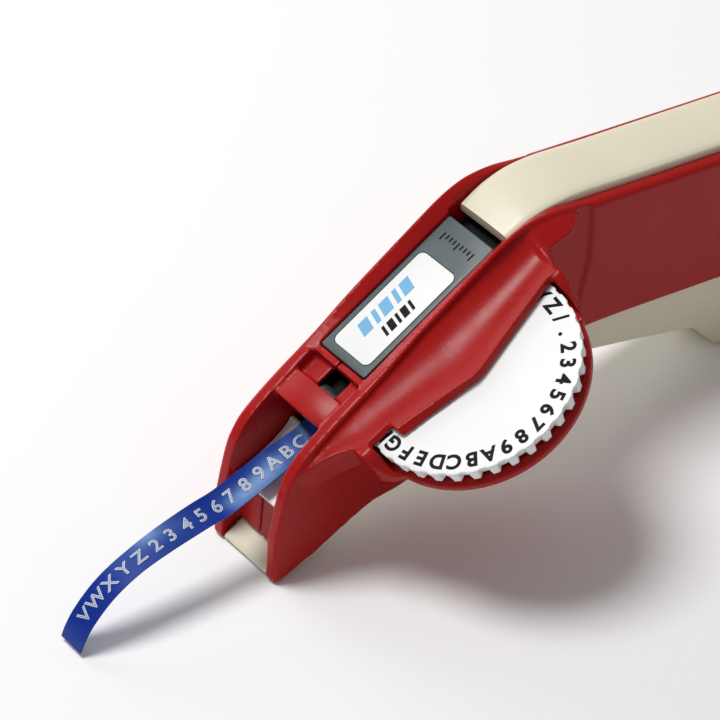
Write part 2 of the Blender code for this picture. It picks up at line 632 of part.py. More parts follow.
def make_panel(shop, slate, white):
    plan = rounded([(-29.0, -9.4, 0.6), (20.5, -9.4, 0.6), (20.5, 9.4, 0.6), (-29.0, 9.4, 0.6)], 2)
    panel = shop.extruded("label_panel", plan, 2.9, 4.9, plan=True)
    bevel(panel, 0.25, segments=1)
    seat = rounded([(-17.0, -7.75, 2.3), (18.1, -7.75, 2.3), (18.1, 7.75, 2.3), (-17.0, 7.75, 2.3)])
    shop.cut(panel, shop.extruded("sticker_seat_cutter", seat, 4.55, 8.0, plan=True, cutter=True))
    finish(panel, slate)
    plan = rounded([(-16.7, -7.45, 2.0), (17.8, -7.45, 2.0), (17.8, 7.45, 2.0), (-16.7, 7.45, 2.0)])
    finish(shop.extruded("panel_sticker", plan, 4.65, 4.98, plan=True), white)


def make_cover(shop, cream, steel):
    """The crowned cream cover that hinges at the rear, over the tape bay and along the grip."""
    line = smooth_line(COVER_LINE, 2)
    section = [(-COVER_HALF, -0.5), (-COVER_HALF + 0.5, 0.0), (-5.6, 0.55), (0.0, 0.75), (5.6, 0.55),
               (COVER_HALF - 0.5, 0.0), (COVER_HALF, -0.5), (COVER_HALF, -COVER_T), (-COVER_HALF, -COVER_T)]
    rings = [[(p.x + n.x * up, y, p.y + n.y * up) for y, up in section]
             for p, n in zip(line, normals_of(line))]
    cover = shop.loft("grip_cover", rings)
    for number, y in enumerate((-5.9, 3.9)):
        x, z = COVER_PIN
        outline = [(x - 1.9, z - 1.6), (x + 0.6, z - 2.3), (x + 2.3, z - 0.6), (x + 5.0, z + 6.2),
                   (x + 1.4, z + 4.0), (x - 1.6, z + 1.0)]
        ear = shop.extruded(f"cover_ear_{number}", outline, y, y + 2.0, cutter=True)
        shop.join(cover, ear)
    hole = shop.rod("cover_hole_cutter", COVER_PIN, 1.05, -8.0, 8.0, sides=16, cutter=True)
    shop.cut(cover, hole)
    latch = shop.box("cover_latch_form", (-38.6, -3.0, -1.6), (-36.4, 3.0, 3.6), cutter=True)
    shop.join(cover, latch)
    finish(cover, cream, (COVER_PIN[0], 0.0, COVER_PIN[1]))
    finish(shop.rod("cover_hinge_pin", COVER_PIN, 0.8, -9.0, 9.0, sides=16), steel)


def make_chute(shop, white):
    top = [(39.0, -8.9), (41.2, -9.9), (44.0, -10.5), (48.0, -10.8), (54.0, -10.4), (58.0, -9.7),
           (60.4, -9.1)]
    low = [(60.7, -9.7), (58.6, -11.1), (54.0, -11.7), (48.0, -12.1), (43.2, -11.8), (39.6, -10.8),
           (38.2, -9.4)]
    finish(shop.extruded("exit_chute", top + low, -9.75, 9.75), white)


# ---------------------------------------------------------------- lever

def make_lever(shop, cream, steel):
    lever = shop.extruded("lever", rounded(HANDLE), -LEVER_HALF, LEVER_HALF)
    bevel(lever, 0.9, segments=2, angle=50.0)
    shop.cut(lever, shop.extruded("lever_hollow_cutter", rounded(HANDLE_HOLLOW), LEVER_WALL - LEVER_HALF,
                                  LEVER_HALF - LEVER_WALL, cutter=True))
    arm = shop.extruded("lever_arm_form", rounded(ARM, 2), -ARM_HALF, ARM_HALF, cutter=True)
    shop.join(lever, arm)
    shop.join(lever, shop.box("lever_post_form", (21.2, -9.4, -34.0), (23.2, -7.9, -17.3), cutter=True))
    shop.join(lever, shop.rod("lever_spring_peg_form", (-13.0, 4.0), 2.2, -33.0, -30.2, axis="Z", sides=16,
                              cutter=True))
    shop.cut(lever, shop.rod("lever_bore_cutter", LEVER_PIN, 1.05, -12.0, 12.0, sides=16, cutter=True))
    finish(lever, cream, (LEVER_PIN[0], 0.0, LEVER_PIN[1]))
    finish(shop.rod("lever_pivot_pin", LEVER_PIN, 0.85, -12.3, 12.3, sides=16), steel)
    finish(shop.spring("return_spring", (-13.0, 4.0), 3.1, 0.4, -31.6, -9.8, 8), steel)
    finish(shop.spring("ram_spring", (0.0, 0.0), 2.1, 0.35, -31.6, -20.4, 5), steel)


# ---------------------------------------------------------------- character wheel and press

def tooth_ring(radius, root, share, height):
    """One ring of the wheel's toothed edge: four points to a tooth, with teeth on whole steps."""
    step = 2.0 * math.pi / WHEEL_TEETH
    ring = []
    for tooth in range(WHEEL_TEETH):
        middle = tooth * step
        for offset, r in ((-0.5 + 0.02, root), (-share / 2.0, radius), (share / 2.0, radius),
                          (0.5 - 0.02, root)):
            angle = middle + offset * step
            ring.append((r * math.cos(angle), WHEEL_Y + r * math.sin(angle), height))
    return ring


def make_wheel(shop, white, dark, steel):
    rings = [tooth_ring(31.3, 28.6, 0.44, -WHEEL_DEEP), tooth_ring(31.7, 29.2, 0.66, -1.15),
             tooth_ring(WHEEL_R, 31.7, 0.6, -1.0), tooth_ring(WHEEL_R, 31.7, 0.6, -0.2),
             tooth_ring(31.8, 31.5, 0.6, 0.0)]
    wheel = shop.loft("character_wheel", rings)
    shop.cut(wheel, shop.rod("wheel_bore_cutter", (0.0, WHEEL_Y), 4.0, -6.0, 3.0, axis="Z", sides=24,
                             cutter=True))
    centre = (0.0, WHEEL_Y, 0.0)
    finish(wheel, white, centre)
    die_profile = [(4.0, -4.3), (28.9, -4.3), (29.4, -4.7), (28.9, -5.1), (4.0, -5.1)]
    finish(shop.turned("die_wheel", list(reversed(die_profile)), (0.0, WHEEL_Y), axis="Z", steps=48), dark,
           centre)
    hub_profile = [(AXLE_R + 0.2, -0.1), (3.7, -0.1), (3.7, -5.3), (AXLE_R + 0.2, -5.3)]
    finish(shop.turned("wheel_hub", list(reversed(hub_profile)), (0.0, WHEEL_Y), axis="Z", steps=24), white,
           centre)
    finish(shop.rod("wheel_axle", (0.0, WHEEL_Y), AXLE_R - 0.05, -10.3, 1.4, axis="Z", sides=20), steel)


def make_detent(shop, steel):
    """A leaf spring held by the right-hand wall, whose tip sits between two teeth of the wheel."""
    leaf = [(-23.6, -9.5), (-23.2, -9.5), (-16.4, -4.2), (-14.2, -3.4), (-13.4, -2.6), (-14.0, -2.5),
            (-16.6, -3.9)]
    finish(shop.extruded("wheel_detent_spring", leaf, -2.6, -1.2, plan=True), steel)


def make_press(shop, steel, dark):
    ram_profile = [(0.05, -8.2), (1.6, -8.2), (2.5, -9.0), (2.5, -18.6), (3.4, -18.9), (3.4, -20.0),
                   (0.05, -20.0)]
    finish(shop.turned("press_ram", list(reversed(ram_profile)), (0.0, 0.0), axis="Z", steps=20), steel)
    anvil = shop.box("press_anvil", (-7.0, -7.3, 0.45), (7.0, 7.3, 2.6))
    bevel(anvil, 0.3, segments=1)
    finish(anvil, dark)


# ---------------------------------------------------------------- tape and its feed

def make_tape(shop, blue):
    """The strip from the roll to the free end; it leans over sideways where it leaves the chute."""
    line = smooth_line(TAPE_LINE, 3)
    rings = []
    for point, up in zip(line, normals_of(line)):
        lean = 0.0
        if 34.0 < point.x < 98.0:
            lean = math.sin(math.pi * (point.x - 34.0) / 64.0) * math.radians(TAPE_ROLL_DEG)
        across = Vector((up.x * -math.sin(lean), math.cos(lean), up.y * -math.sin(lean)))
        out = Vector((up.x * math.cos(lean), math.sin(lean), up.y * math.cos(lean)))
        centre = Vector((point.x, 0.0, point.y))
        rings.append([centre + across * (TAPE_W / 2.0 * a) + out * (TAPE_T / 2.0 * b)
                      for a, b in ((-1, -1), (1, -1), (1, 1), (-1, 1))])
    finish(shop.loft("tape_strip", rings), blue)


def make_roll(shop, blue, white, dark):
    half = TAPE_W / 2.0
    centre = (ROLL_PIN[0], 0.0, ROLL_PIN[1])
    roll = [(ROLL_CORE_R, -half), (ROLL_R, -half), (ROLL_R, half), (ROLL_CORE_R, half)]
    finish(shop.turned("tape_roll", roll, ROLL_PIN, steps=40), blue, centre)
    core = [(7.9, -half - 0.2), (9.3, -half - 0.2), (9.3, half + 0.2), (7.9, half + 0.2)]
    finish(shop.turned("roll_core", core, ROLL_PIN, steps=32), white, centre)
    post = [(0.05, -11.8), (5.2, -11.8), (5.2, -9.3), (7.5, -9.3), (7.5, 4.6), (0.05, 4.6)]
    finish(shop.turned("roll_post", post, ROLL_PIN, steps=28), dark)


def make_feed(shop, rubber, white, steel, dark):
    x, z = FEED_PIN
    centre = (x, 0.0, z)
    knurls = 24
    outline = []
    for k in range(knurls):
        for offset, r in ((-0.28, FEED_R), (0.28, FEED_R), (0.5, FEED_R - 0.45)):
            angle = 2.0 * math.pi * (k + offset) / knurls
            outline.append((x + r * math.cos(angle), z + r * math.sin(angle)))
    roller = shop.extruded("feed_roller", outline, -4.6, 4.6)
    shop.cut(roller, shop.rod("feed_bore_cutter", FEED_PIN, 1.5, -8.0, 8.0, sides=20, cutter=True))
    finish(roller, rubber, centre)
    teeth = 8
    outline = []
    for k in range(teeth):
        for offset, r in ((0.0, 5.3), (0.08, 5.3), (0.92, 3.9)):
            angle = 2.0 * math.pi * (k + offset) / teeth
            outline.append((x + r * math.cos(angle), z + r * math.sin(angle)))
    ratchet = shop.extruded("feed_ratchet", outline, -6.6, -5.2)
    shop.cut(ratchet, shop.rod("ratchet_bore_cutter", FEED_PIN, 1.5, -8.0, -3.0, sides=20, cutter=True))
    finish(ratchet, white, centre)
    finish(shop.rod("feed_axle", FEED_PIN, 1.2, -11.4, 11.4, sides=20), steel, centre)

    profile = [(1.15, -4.6), (PRESS_R, -4.6), (PRESS_R, 4.6), (1.15, 4.6)]
    centre = (PRESS_PIN[0], 0.0, PRESS_PIN[1])
    finish(shop.turned("pressure_roller", profile, PRESS_PIN, steps=24), dark, centre)
    finish(shop.rod("pressure_axle", PRESS_PIN, 0.85, -11.4, 11.4, sides=16), steel)

    reach = math.radians(205.0)
    tip = (x + 8.0 * math.cos(reach), z + 8.0 * math.sin(reach))
    side = Vector((-math.sin(reach), math.cos(reach))) * 1.2
    arm = shop.rod("feed_arm", FEED_PIN, 3.0, -9.4, -7.6, sides=20)
    bar = [(x + side.x, z + side.y), (tip[0] + side.x, tip[1] + side.y), (tip[0] - side.x, tip[1] - side.y),
           (x - side.x, z - side.y)]
    shop.join(arm, shop.extruded("feed_arm_form", bar, -9.2, -7.8, cutter=True))
    pawl = [(x - 5.7, z + 0.6), (x - 7.3, z - 1.2), (x - 7.6, z - 3.6), (x - 6.0, z - 3.4)]
    shop.join(arm, shop.extruded("feed_pawl_form", pawl, -8.4, -5.4, cutter=True))
    shop.cut(arm, shop.rod("feed_arm_bore_cutter", FEED_PIN, 1.45, -12.0, -5.0, sides=20, cutter=True))
    finish(arm, dark, (x, 0.0, z))


def make_cutter(shop, steel, dark):
    holder = shop.box("cutter_holder", (34.2, -6.2, -2.9), (37.6, 6.2, 0.4))
    slot = shop.box("cutter_slot_cutter", (35.5, -5.6, -4.0), (36.5, 5.6, -1.7), cutter=True)
    shop.cut(holder, slot)
    finish(holder, dark)
    blade = [(35.75, -2.0), (36.25, -2.0), (36.25, -4.3), (36.0, -5.1), (35.75, -4.3)]
    finish(shop.extruded("cutter_blade", blade, -5.3, 5.3), steel)


# ---------------------------------------------------------------- assembly

def main():
    clear_scene()
    parts = new_collection("label_maker")
    cutters = new_collection("cutters")
    stance = bpy.data.objects.new("stance", None)
    parts.objects.link(stance)
    stance.rotation_euler = (0.0, STANCE_TILT, 0.0)
    stance.location = Vector((STANCE_SHIFT[0], STANCE_SHIFT[1], NOSE_HEIGHT)) * MM
    shop = Shop(parts, cutters, stance)

    red = plastic("red_plastic", RED, 0.3)
    cream = plastic("cream_plastic", CREAM, 0.4)
    white = plastic("white_plastic", WHITE, 0.35)
    slate = plastic("slate_plastic", SLATE, 0.45)
    steel = plastic("steel", STEEL, 0.3, 1.0)
    dark = plastic("dark_plastic", DARK, 0.5)
    rubber = plastic("black_rubber", DARK, 0.8)
    blue = plastic("blue_tape", BLUE, 0.2)
    sticker = plastic("sticker_paper", WHITE, 0.5)

    make_housing(shop, red)
    make_screws(shop, steel)
    make_panel(shop, slate, sticker)
    make_cover(shop, cream, steel)
    make_chute(shop, cream)
    make_lever(shop, cream, steel)
    make_wheel(shop, white, dark, steel)
    make_detent(shop, steel)
    make_press(shop, steel, dark)
    make_tape(shop, blue)
    make_roll(shop, blue, white, dark)
    make_feed(shop, rubber, white, steel, dark)
    make_cutter(shop, steel, dark)


main()
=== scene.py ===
"""The looks of a hand-held embossing label maker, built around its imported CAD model."""

import json
import math

import bmesh
import bpy
from mathutils import Matrix, Vector


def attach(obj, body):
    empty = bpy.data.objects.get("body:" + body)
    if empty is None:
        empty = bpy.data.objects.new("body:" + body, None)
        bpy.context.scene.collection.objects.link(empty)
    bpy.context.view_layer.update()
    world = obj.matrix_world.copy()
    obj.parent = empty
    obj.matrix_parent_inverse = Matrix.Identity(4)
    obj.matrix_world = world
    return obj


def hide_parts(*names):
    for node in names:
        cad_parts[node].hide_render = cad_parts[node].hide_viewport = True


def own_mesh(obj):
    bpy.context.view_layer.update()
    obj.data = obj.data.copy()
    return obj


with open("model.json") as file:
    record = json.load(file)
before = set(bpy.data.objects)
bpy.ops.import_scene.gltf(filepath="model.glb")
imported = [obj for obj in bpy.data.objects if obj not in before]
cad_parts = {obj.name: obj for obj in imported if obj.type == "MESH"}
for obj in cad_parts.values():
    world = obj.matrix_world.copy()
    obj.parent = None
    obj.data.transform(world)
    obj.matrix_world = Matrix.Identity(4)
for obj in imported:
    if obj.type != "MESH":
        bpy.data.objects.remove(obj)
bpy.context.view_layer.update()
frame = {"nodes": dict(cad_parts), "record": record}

# The head frame in millimetres (X to the nose, Y to the character wheel, Z out of the head's top)
# and its place in the world.
TILT = math.radians(26.8)
STANCE = (Matrix.Translation((0.0231, -0.0228, 0.05689)) @ Matrix.Rotation(TILT, 4, "Y")
          @ Matrix.Scale(0.001, 4))
TURN = Matrix.Rotation(TILT, 3, "Y")


# ---------------------------------------------------------------- materials

class Nodes:
    """A short way to write a material's node tree."""

    def __init__(self, name):
        self.mat = bpy.data.materials.new(name)
        self.mat.use_nodes = True
        self.tree = self.mat.node_tree
        self.shader = self.tree.nodes["Principled BSDF"]
        coords = self.tree.nodes.new("ShaderNodeTexCoord")
        self.coords = coords.outputs["Object"]

    def link(self, source, node, socket):
        self.tree.links.new(source, node.inputs[socket])

    def noise(self, scale, detail, rough=0.5, distortion=0.0, stretch=None):
        node = self.tree.nodes.new("ShaderNodeTexNoise")
        node.inputs["Scale"].default_value = scale
        node.inputs["Detail"].default_value = detail
        node.inputs["Roughness"].default_value = rough
        node.inputs["Distortion"].default_value = distortion
        source = self.coords
        if stretch:
            mapping = self.tree.nodes.new("ShaderNodeMapping")
            mapping.inputs["Scale"].default_value = stretch
            self.link(self.coords, mapping, "Vector")
            source = mapping.outputs["Vector"]
        self.link(source, node, "Vector")
        return node.outputs["Fac"]

    def ramp(self, source, low, high, start, end):
        node = self.tree.nodes.new("ShaderNodeMapRange")
        node.inputs["From Min"].default_value = start
        node.inputs["From Max"].default_value = end
        node.inputs["To Min"].default_value = low
        node.inputs["To Max"].default_value = high
        self.link(source, node, "Value")
        return node.outputs["Result"]

    def mix(self, factor, first, second):
        node = self.tree.nodes.new("ShaderNodeMix")
        node.data_type = "RGBA"
        self.link(factor, node, 0)
        for socket, value in ((6, first), (7, second)):
            if isinstance(value, tuple):
                node.inputs[socket].default_value = (*value, 1.0)
            else:
                self.link(value, node, socket)
        return node.outputs[2]

    def edges(self, start, end):
        node = self.tree.nodes.new("ShaderNodeNewGeometry")
        return self.ramp(node.outputs["Pointiness"], 0.0, 1.0, start, end)

    def math(self, kind, first, second):
        node = self.tree.nodes.new("ShaderNodeMath")
        node.operation = kind
        for socket, value in ((0, first), (1, second)):
            if isinstance(value, float):
                node.inputs[socket].default_value = value
            else:
                self.link(value, node, socket)
        return node.outputs[0]

    def bump(self, height, strength, distance):
        node = self.tree.nodes.new("ShaderNodeBump")
        node.inputs["Strength"].default_value = strength
        node.inputs["Distance"].default_value = distance
        self.link(height, node, "Height")
        self.link(node.outputs["Normal"], self.shader, "Normal")


def moulded(name, colour, rough, shift, grain, specular=0.5, wear=0.25, tint=None):
    """Moulded plastic: colour drifting by the shift, a fine grain, and edges paler by the wear."""
    n = Nodes(name)
    dark = tuple(c * (1.0 - shift) for c in colour)
    light = tuple(min(1.0, c * (1.0 + shift)) for c in colour)
    pale = tuple(min(1.0, c + (1.0 - c) * 0.16) for c in colour)
    cloud = n.ramp(n.noise(38.0, 4.0, 0.6), 0.0, 1.0, 0.3, 0.7)
    body = n.mix(cloud, dark, light)
    worn = n.math("MULTIPLY", n.edges(0.56, 0.72), n.ramp(n.noise(420.0, 3.0), 0.0, wear, 0.35, 0.75))
    n.link(n.mix(worn, body, pale), n.shader, "Base Color")
    smear = n.noise(90.0, 5.0, 0.65, 0.6)
    n.link(n.ramp(smear, rough - 0.05, rough + 0.09, 0.3, 0.7), n.shader, "Roughness")
    fine = n.noise(5200.0, 2.0, 0.6)
    ripple = n.noise(160.0, 2.0, 0.5)
    height = n.math("ADD", n.math("MULTIPLY", fine, 0.35), ripple)
    n.bump(height, grain, 0.00006)
    n.shader.inputs["Specular IOR Level"].default_value = specular
    if tint:
        n.shader.inputs["Specular Tint"].default_value = (*tint, 1.0)
    return n.mat


def metal(name, colour, rough, stretch):
    """Plain metal with fine drawn lines and small dull patches."""
    n = Nodes(name)
    lines = n.noise(900.0, 4.0, 0.7, 0.0, stretch)
    patches = n.noise(240.0, 3.0)
    dark = tuple(c * 0.72 for c in colour)
    n.link(n.mix(n.ramp(patches, 0.0, 1.0, 0.35, 0.7), dark, colour), n.shader, "Base Color")
    n.link(n.ramp(lines, rough - 0.08, rough + 0.16, 0.3, 0.7), n.shader, "Roughness")
    n.bump(lines, 0.4, 0.00003)
    n.shader.inputs["Metallic"].default_value = 1.0
    return n.mat


RED = moulded("red_abs", (0.38, 0.008, 0.008), 0.28, 0.05, 0.12, specular=0.17, wear=0.02)
CREAM = moulded("cream_plastic", (0.76, 0.705, 0.54), 0.36, 0.025, 0.5, wear=0.1)
SLATE = moulded("slate_plastic", (0.055, 0.08, 0.089), 0.4, 0.08, 0.9, wear=0.3)
STICKER = moulded("sticker_paper", (0.83, 0.84, 0.83), 0.42, 0.015, 0.2, wear=0.0)
WHITE = moulded("white_plastic", (0.86, 0.865, 0.865), 0.34, 0.02, 0.25, wear=0.05)
DARK = moulded("dark_plastic", (0.02, 0.02, 0.022), 0.4, 0.15, 0.8)
RUBBER = moulded("dark_rubber", (0.013, 0.013, 0.014), 0.62, 0.2, 1.2, specular=0.3)
BLUE = moulded("blue_tape", (0.0, 0.018, 0.25), 0.3, 0.08, 0.1, wear=0.0, tint=(0.5, 0.82, 1.0))
# Near-black ink for the printed marks; the same material is painted shade on the plates under the gap and
# the window.
INK_AND_SHADE = moulded("ink_and_painted_shade", (0.004, 0.004, 0.005), 0.5, 0.2, 0.2, specular=0.1, wear=0.0)
PALE_BLUE = moulded("pale_blue_ink", (0.13, 0.41, 0.68), 0.45, 0.05, 0.2, wear=0.0)
EMBOSS = moulded("stretched_white", (0.70, 0.73, 0.79), 0.4, 0.1, 0.5, wear=0.0)
CORE = moulded("stretched_core", (0.20, 0.25, 0.40), 0.4, 0.2, 0.5, wear=0.0)
STEEL = metal("steel", (0.60, 0.61, 0.63), 0.3, (1.0, 1.0, 8.0))
SLOTS = {"red_abs": RED, "cream_plastic": CREAM, "slate_plastic": SLATE, "sticker_paper": STICKER,
         "white_plastic": WHITE, "dark_plastic": DARK, "steel": STEEL, "dark_rubber": RUBBER,
         "blue_tape": BLUE}

for entry in frame["record"]["subparts"]:
    node = frame["nodes"][entry["node"]]
    node.data.materials.clear()
    node.data.materials.append(SLOTS[entry["material_slot"]])


# ---------------------------------------------------------------- shapes, in millimetres of the head frame

def rounded(points, steps=6):
    """A closed outline of (x, z, radius) corners, with each corner that has a radius turned into an arc."""
    made = []
    for i, (x, z, radius) in enumerate(points):
        corner = Vector((x, z))
        if radius <= 0.0:
            made.append(corner)
            continue
        before = (Vector(points[i - 1][:2]) - corner).normalized()
        after = (Vector(points[(i + 1) % len(points)][:2]) - corner).normalized()
        half = before.angle(after) / 2.0
        reach = radius / math.tan(half)
        centre = corner + (before + after).normalized() * (radius / math.sin(half))
        first = corner + before * reach - centre
        turn = first.angle_signed(corner + after * reach - centre)
        for k in range(steps + 1):
            made.append(centre + Matrix.Rotation(-turn * k / steps, 2) @ first)
    return made


def outline_of(corners, steps=8):
    return [(p.x, p.y) for p in rounded(corners, steps)]


def smooth_rows(rows, steps):
    """Catmull-Rom rows between the given rows of numbers, with this many steps to each span."""
    line = []
    last = len(rows) - 1
    for i in range(last):
        four = [rows[max(i - 1, 0)], rows[i], rows[i + 1], rows[min(i + 2, last)]]
        for k in range(steps):
            t = k / steps
            line.append(tuple(0.5 * (2 * b + (c - a) * t + (2 * a - 5 * b + 4 * c - d) * t * t
                                     + (3 * b - a - 3 * c + d) * t ** 3) for a, b, c, d in zip(*four)))
    line.append(tuple(rows[last]))
    return line


def smooth_line(points, steps):
    return [Vector(p) for p in smooth_rows(points, steps)]


def normals_of(line):
    """The upward normal at each point of a line of (x, z) points."""
    found = []
    for i in range(len(line)):
        along = (line[min(i + 1, len(line) - 1)] - line[max(i - 1, 0)]).normalized()
        normal = Vector((-along.y, along.x))
        found.append(normal if normal.y > 0 else -normal)
    return found


def raw(name, mesh):
    made = bpy.data.objects.new(name, mesh)
    bpy.context.scene.collection.objects.link(made)
    return made


def solid(name, rings, closed=False):
    """A solid through rings of equally many points: capped at both ends, or closed on itself."""
    mesh = bpy.data.meshes.new(name)
    work = bmesh.new()
    made = [[work.verts.new(point) for point in ring] for ring in rings]
    count = len(made[0])
    for i in range(len(made) if closed else len(made) - 1):
        here, there = made[i], made[(i + 1) % len(made)]
        for k in range(count):
            n = (k + 1) % count
            work.faces.new((here[k], here[n], there[n], there[k]))
    if not closed:
        work.faces.new(made[0])
        work.faces.new(made[-1])
    bmesh.ops.recalc_face_normals(work, faces=work.faces)
    work.to_mesh(mesh)
    work.free()
    return raw(name, mesh)


def prism(name, points, low, high, plan=False):
    """An outline extruded: (x, z) along Y, or with plan=True (x, y) along Z."""
    if plan:
        rings = [[(p[0], p[1], level) for p in points] for level in (low, high)]
    else:
        rings = [[(p[0], level, p[1]) for p in points] for level in (low, high)]
    return solid(name, rings)


def block(name, low, high):
    return prism(name, [(low[0], low[2]), (high[0], low[2]), (high[0], high[2]), (low[0], high[2])],
                 low[1], high[1])


def circle(centre, radius, sides):
    return [(centre[0] + radius * math.cos(2 * math.pi * k / sides),
             centre[1] + radius * math.sin(2 * math.pi * k / sides)) for k in range(sides)]


def rod(name, centre, radius, low, high, plan=False, sides=48):
    return prism(name, circle(centre, radius, sides), low, high, plan)


def turned(name, profile, centre, steps, plan=False):
    """A closed (radius, height) profile turned about an axis along Y at (x, z), or Z at (x, y)."""
    rings = []
    for k in range(steps):
        c, s = math.cos(2 * math.pi * k / steps), math.sin(2 * math.pi * k / steps)
        if plan:
            rings.append([(centre[0] + r * c, centre[1] + r * s, h) for r, h in profile])
        else:
            rings.append([(centre[0] + r * c, h, centre[1] + r * s) for r, h in profile])
    return solid(name, rings, closed=True)


def boolean(obj, other, kind):
    mod = obj.modifiers.new(kind, "BOOLEAN")
    mod.operation = kind
    mod.solver = "MANIFOLD"
    mod.object = other


def bevel(obj, width, segments=3, angle=50.0):
    mod = obj.modifiers.new("round", "BEVEL")
    mod.width = width
    mod.segments = segments
    mod.limit_method = "ANGLE"
    mod.angle_limit = math.radians(angle)


def baked(obj):
    """Applies the object's modifiers."""
    graph = bpy.context.evaluated_depsgraph_get()
    mesh = bpy.data.meshes.new_from_object(obj.evaluated_get(graph))
    obj.modifiers.clear()
    old = obj.data
    obj.data = mesh
    bpy.data.meshes.remove(old)
    return obj


def drop(objects):
    for obj in objects:
        mesh = obj.data
        bpy.data.objects.remove(obj)
        bpy.data.meshes.remove(mesh)


VOXEL = 0.42


def soften(obj, keep):
    """Rounds every edge a little: a fine remesh, some smoothing, and this share of the faces kept."""
    remesh = obj.modifiers.new("remesh", "REMESH")
    remesh.mode = "VOXEL"
    remesh.voxel_size = VOXEL
    smooth = obj.modifiers.new("smooth", "SMOOTH")
    smooth.factor = 0.5
    smooth.iterations = 3
    fewer = obj.modifiers.new("fewer", "DECIMATE")
    fewer.ratio = keep
    weighted = obj.modifiers.new("weighted", "WEIGHTED_NORMAL")
    weighted.weight = 50
    return baked(obj)


def settle(obj, mat, body, *nodes, slot=None, sharp=40.0):
    """Puts a finished piece in the world on its body, with its material, in place of the CAD nodes."""
    mesh = obj.data
    mesh.transform(STANCE)
    mesh.materials.clear()
    mesh.materials.append(mat)
    mesh.shade_smooth()
    mesh.set_sharp_from_angle(angle=math.radians(sharp))
    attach(obj, body)
    if nodes:
        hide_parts(*nodes)
    return obj


# ---------------------------------------------------------------- housing

HEAD_HALF = 13.95
GRIP_HALF = 14.85
HEAD_INNER = 10.05
GRIP_INNER = 12.15
GAP = 0.3
PIN_BORE = 1.05
GUARD_ROOT = 12.3
WHEEL_Y = 28.15
COVER_HALF = 10.65
COVER_T = 2.5
FLANGE_TOP = -5.6
FLANGE_BOTTOM = -8.8
COVER_LINE = [(-33.0, 4.6), (-38.0, 4.6), (-42.5, 4.1), (-48.5, 2.3), (-54.3, -0.5), (-60.0, -4.1),
              (-68.8, -10.6), (-79.6, -18.3), (-99.6, -32.4), (-120.0, -46.8), (-134.0, -56.7)]
BODY_TOP = [(67.4, -13.7), (60.9, -6.2), (56.4, -1.6), (53.2, 0.6), (49.5, 2.4), (44.0, 3.6), (34.0, 4.6),
            (19.0, 5.4), (5.0, 6.9), (-18.0, 8.2), (-30.0, 8.6), (-37.2, 7.7), (-42.2, 5.9), (-48.0, 2.5),
            (-53.5, -1.9), (-59.0, -6.3), (-66.0, -13.0)]
BODY_LOW = [(-80.0, -26.0), (-70.0, -70.0), (-53.6, -58.6), (-30.0, -47.0), (20.0, -44.0), (31.9, -40.0),
            (45.0, -36.0), (63.7, -28.4), (72.2, -27.27), (74.7, -26.1)]
GRIP = [(-57.0, -4.6, 0), (-80.3, -21.4, 0), (-144.5, -66.9, 7.0), (-116.8, -106.1, 2.0),
        (-79.1, -79.0, 0), (-53.6, -60.6, 0), (-33.0, -48.0, 0), (-33.0, -39.5, 0),
        (-41.1, -29.5, 9.0), (-48.6, -20.8, 0), (-55.0, -9.5, 6.0)]
BELLY = [(63.7, -28.4), (51.5, -29.3), (45.0, -29.9), (38.8, -31.0), (31.9, -34.1), (26.0, -35.9),
         (20.0, -36.4), (-22.0, -36.6), (-30.0, -38.4), (-38.7, -42.8), (-53.6, -53.0), (-79.1, -71.4),
         (-130.0, -107.7)]
SCREWS = [(47.0, -18.6), (-28.5, -15.5), (-92.0, -46.0), (-131.0, -72.5)]


def cover_band(depth, reach=0.0):
    """The cover's line moved down by this depth, and carried on past its rear end by this reach."""
    line = smooth_line(COVER_LINE, 4)
    moved = [p - n * depth for p, n in zip(line, normals_of(line))]
    if reach:
        moved.append(moved[-1] + (moved[-1] - moved[-2]).normalized() * reach)
    return [(p.x, p.y) for p in moved]


RAIL_SLOPE = [(24.0, 4.9, 5.2), (16.0, 5.1, 5.7), (5.0, 5.2, 7.0), (-18.0, 5.3, 8.3), (-30.0, 5.3, 8.7),
              (-37.2, 5.0, 7.8), (-42.2, 4.2, 6.0), (-48.0, 2.3, 2.6)]


def rail_cutter(side):
    """What the inward slope of a side rail leaves out: rows of (x, inner height, outer height)."""
    rings = []
    for x, inner, outer in smooth_rows(RAIL_SLOPE, 4):
        section = ((9.4, inner - 0.3), (13.1, outer), (14.5, 14.0), (9.4, 14.0))
        rings.append([(x, side * y, z) for y, z in section])
    return solid("rail_slope", rings)


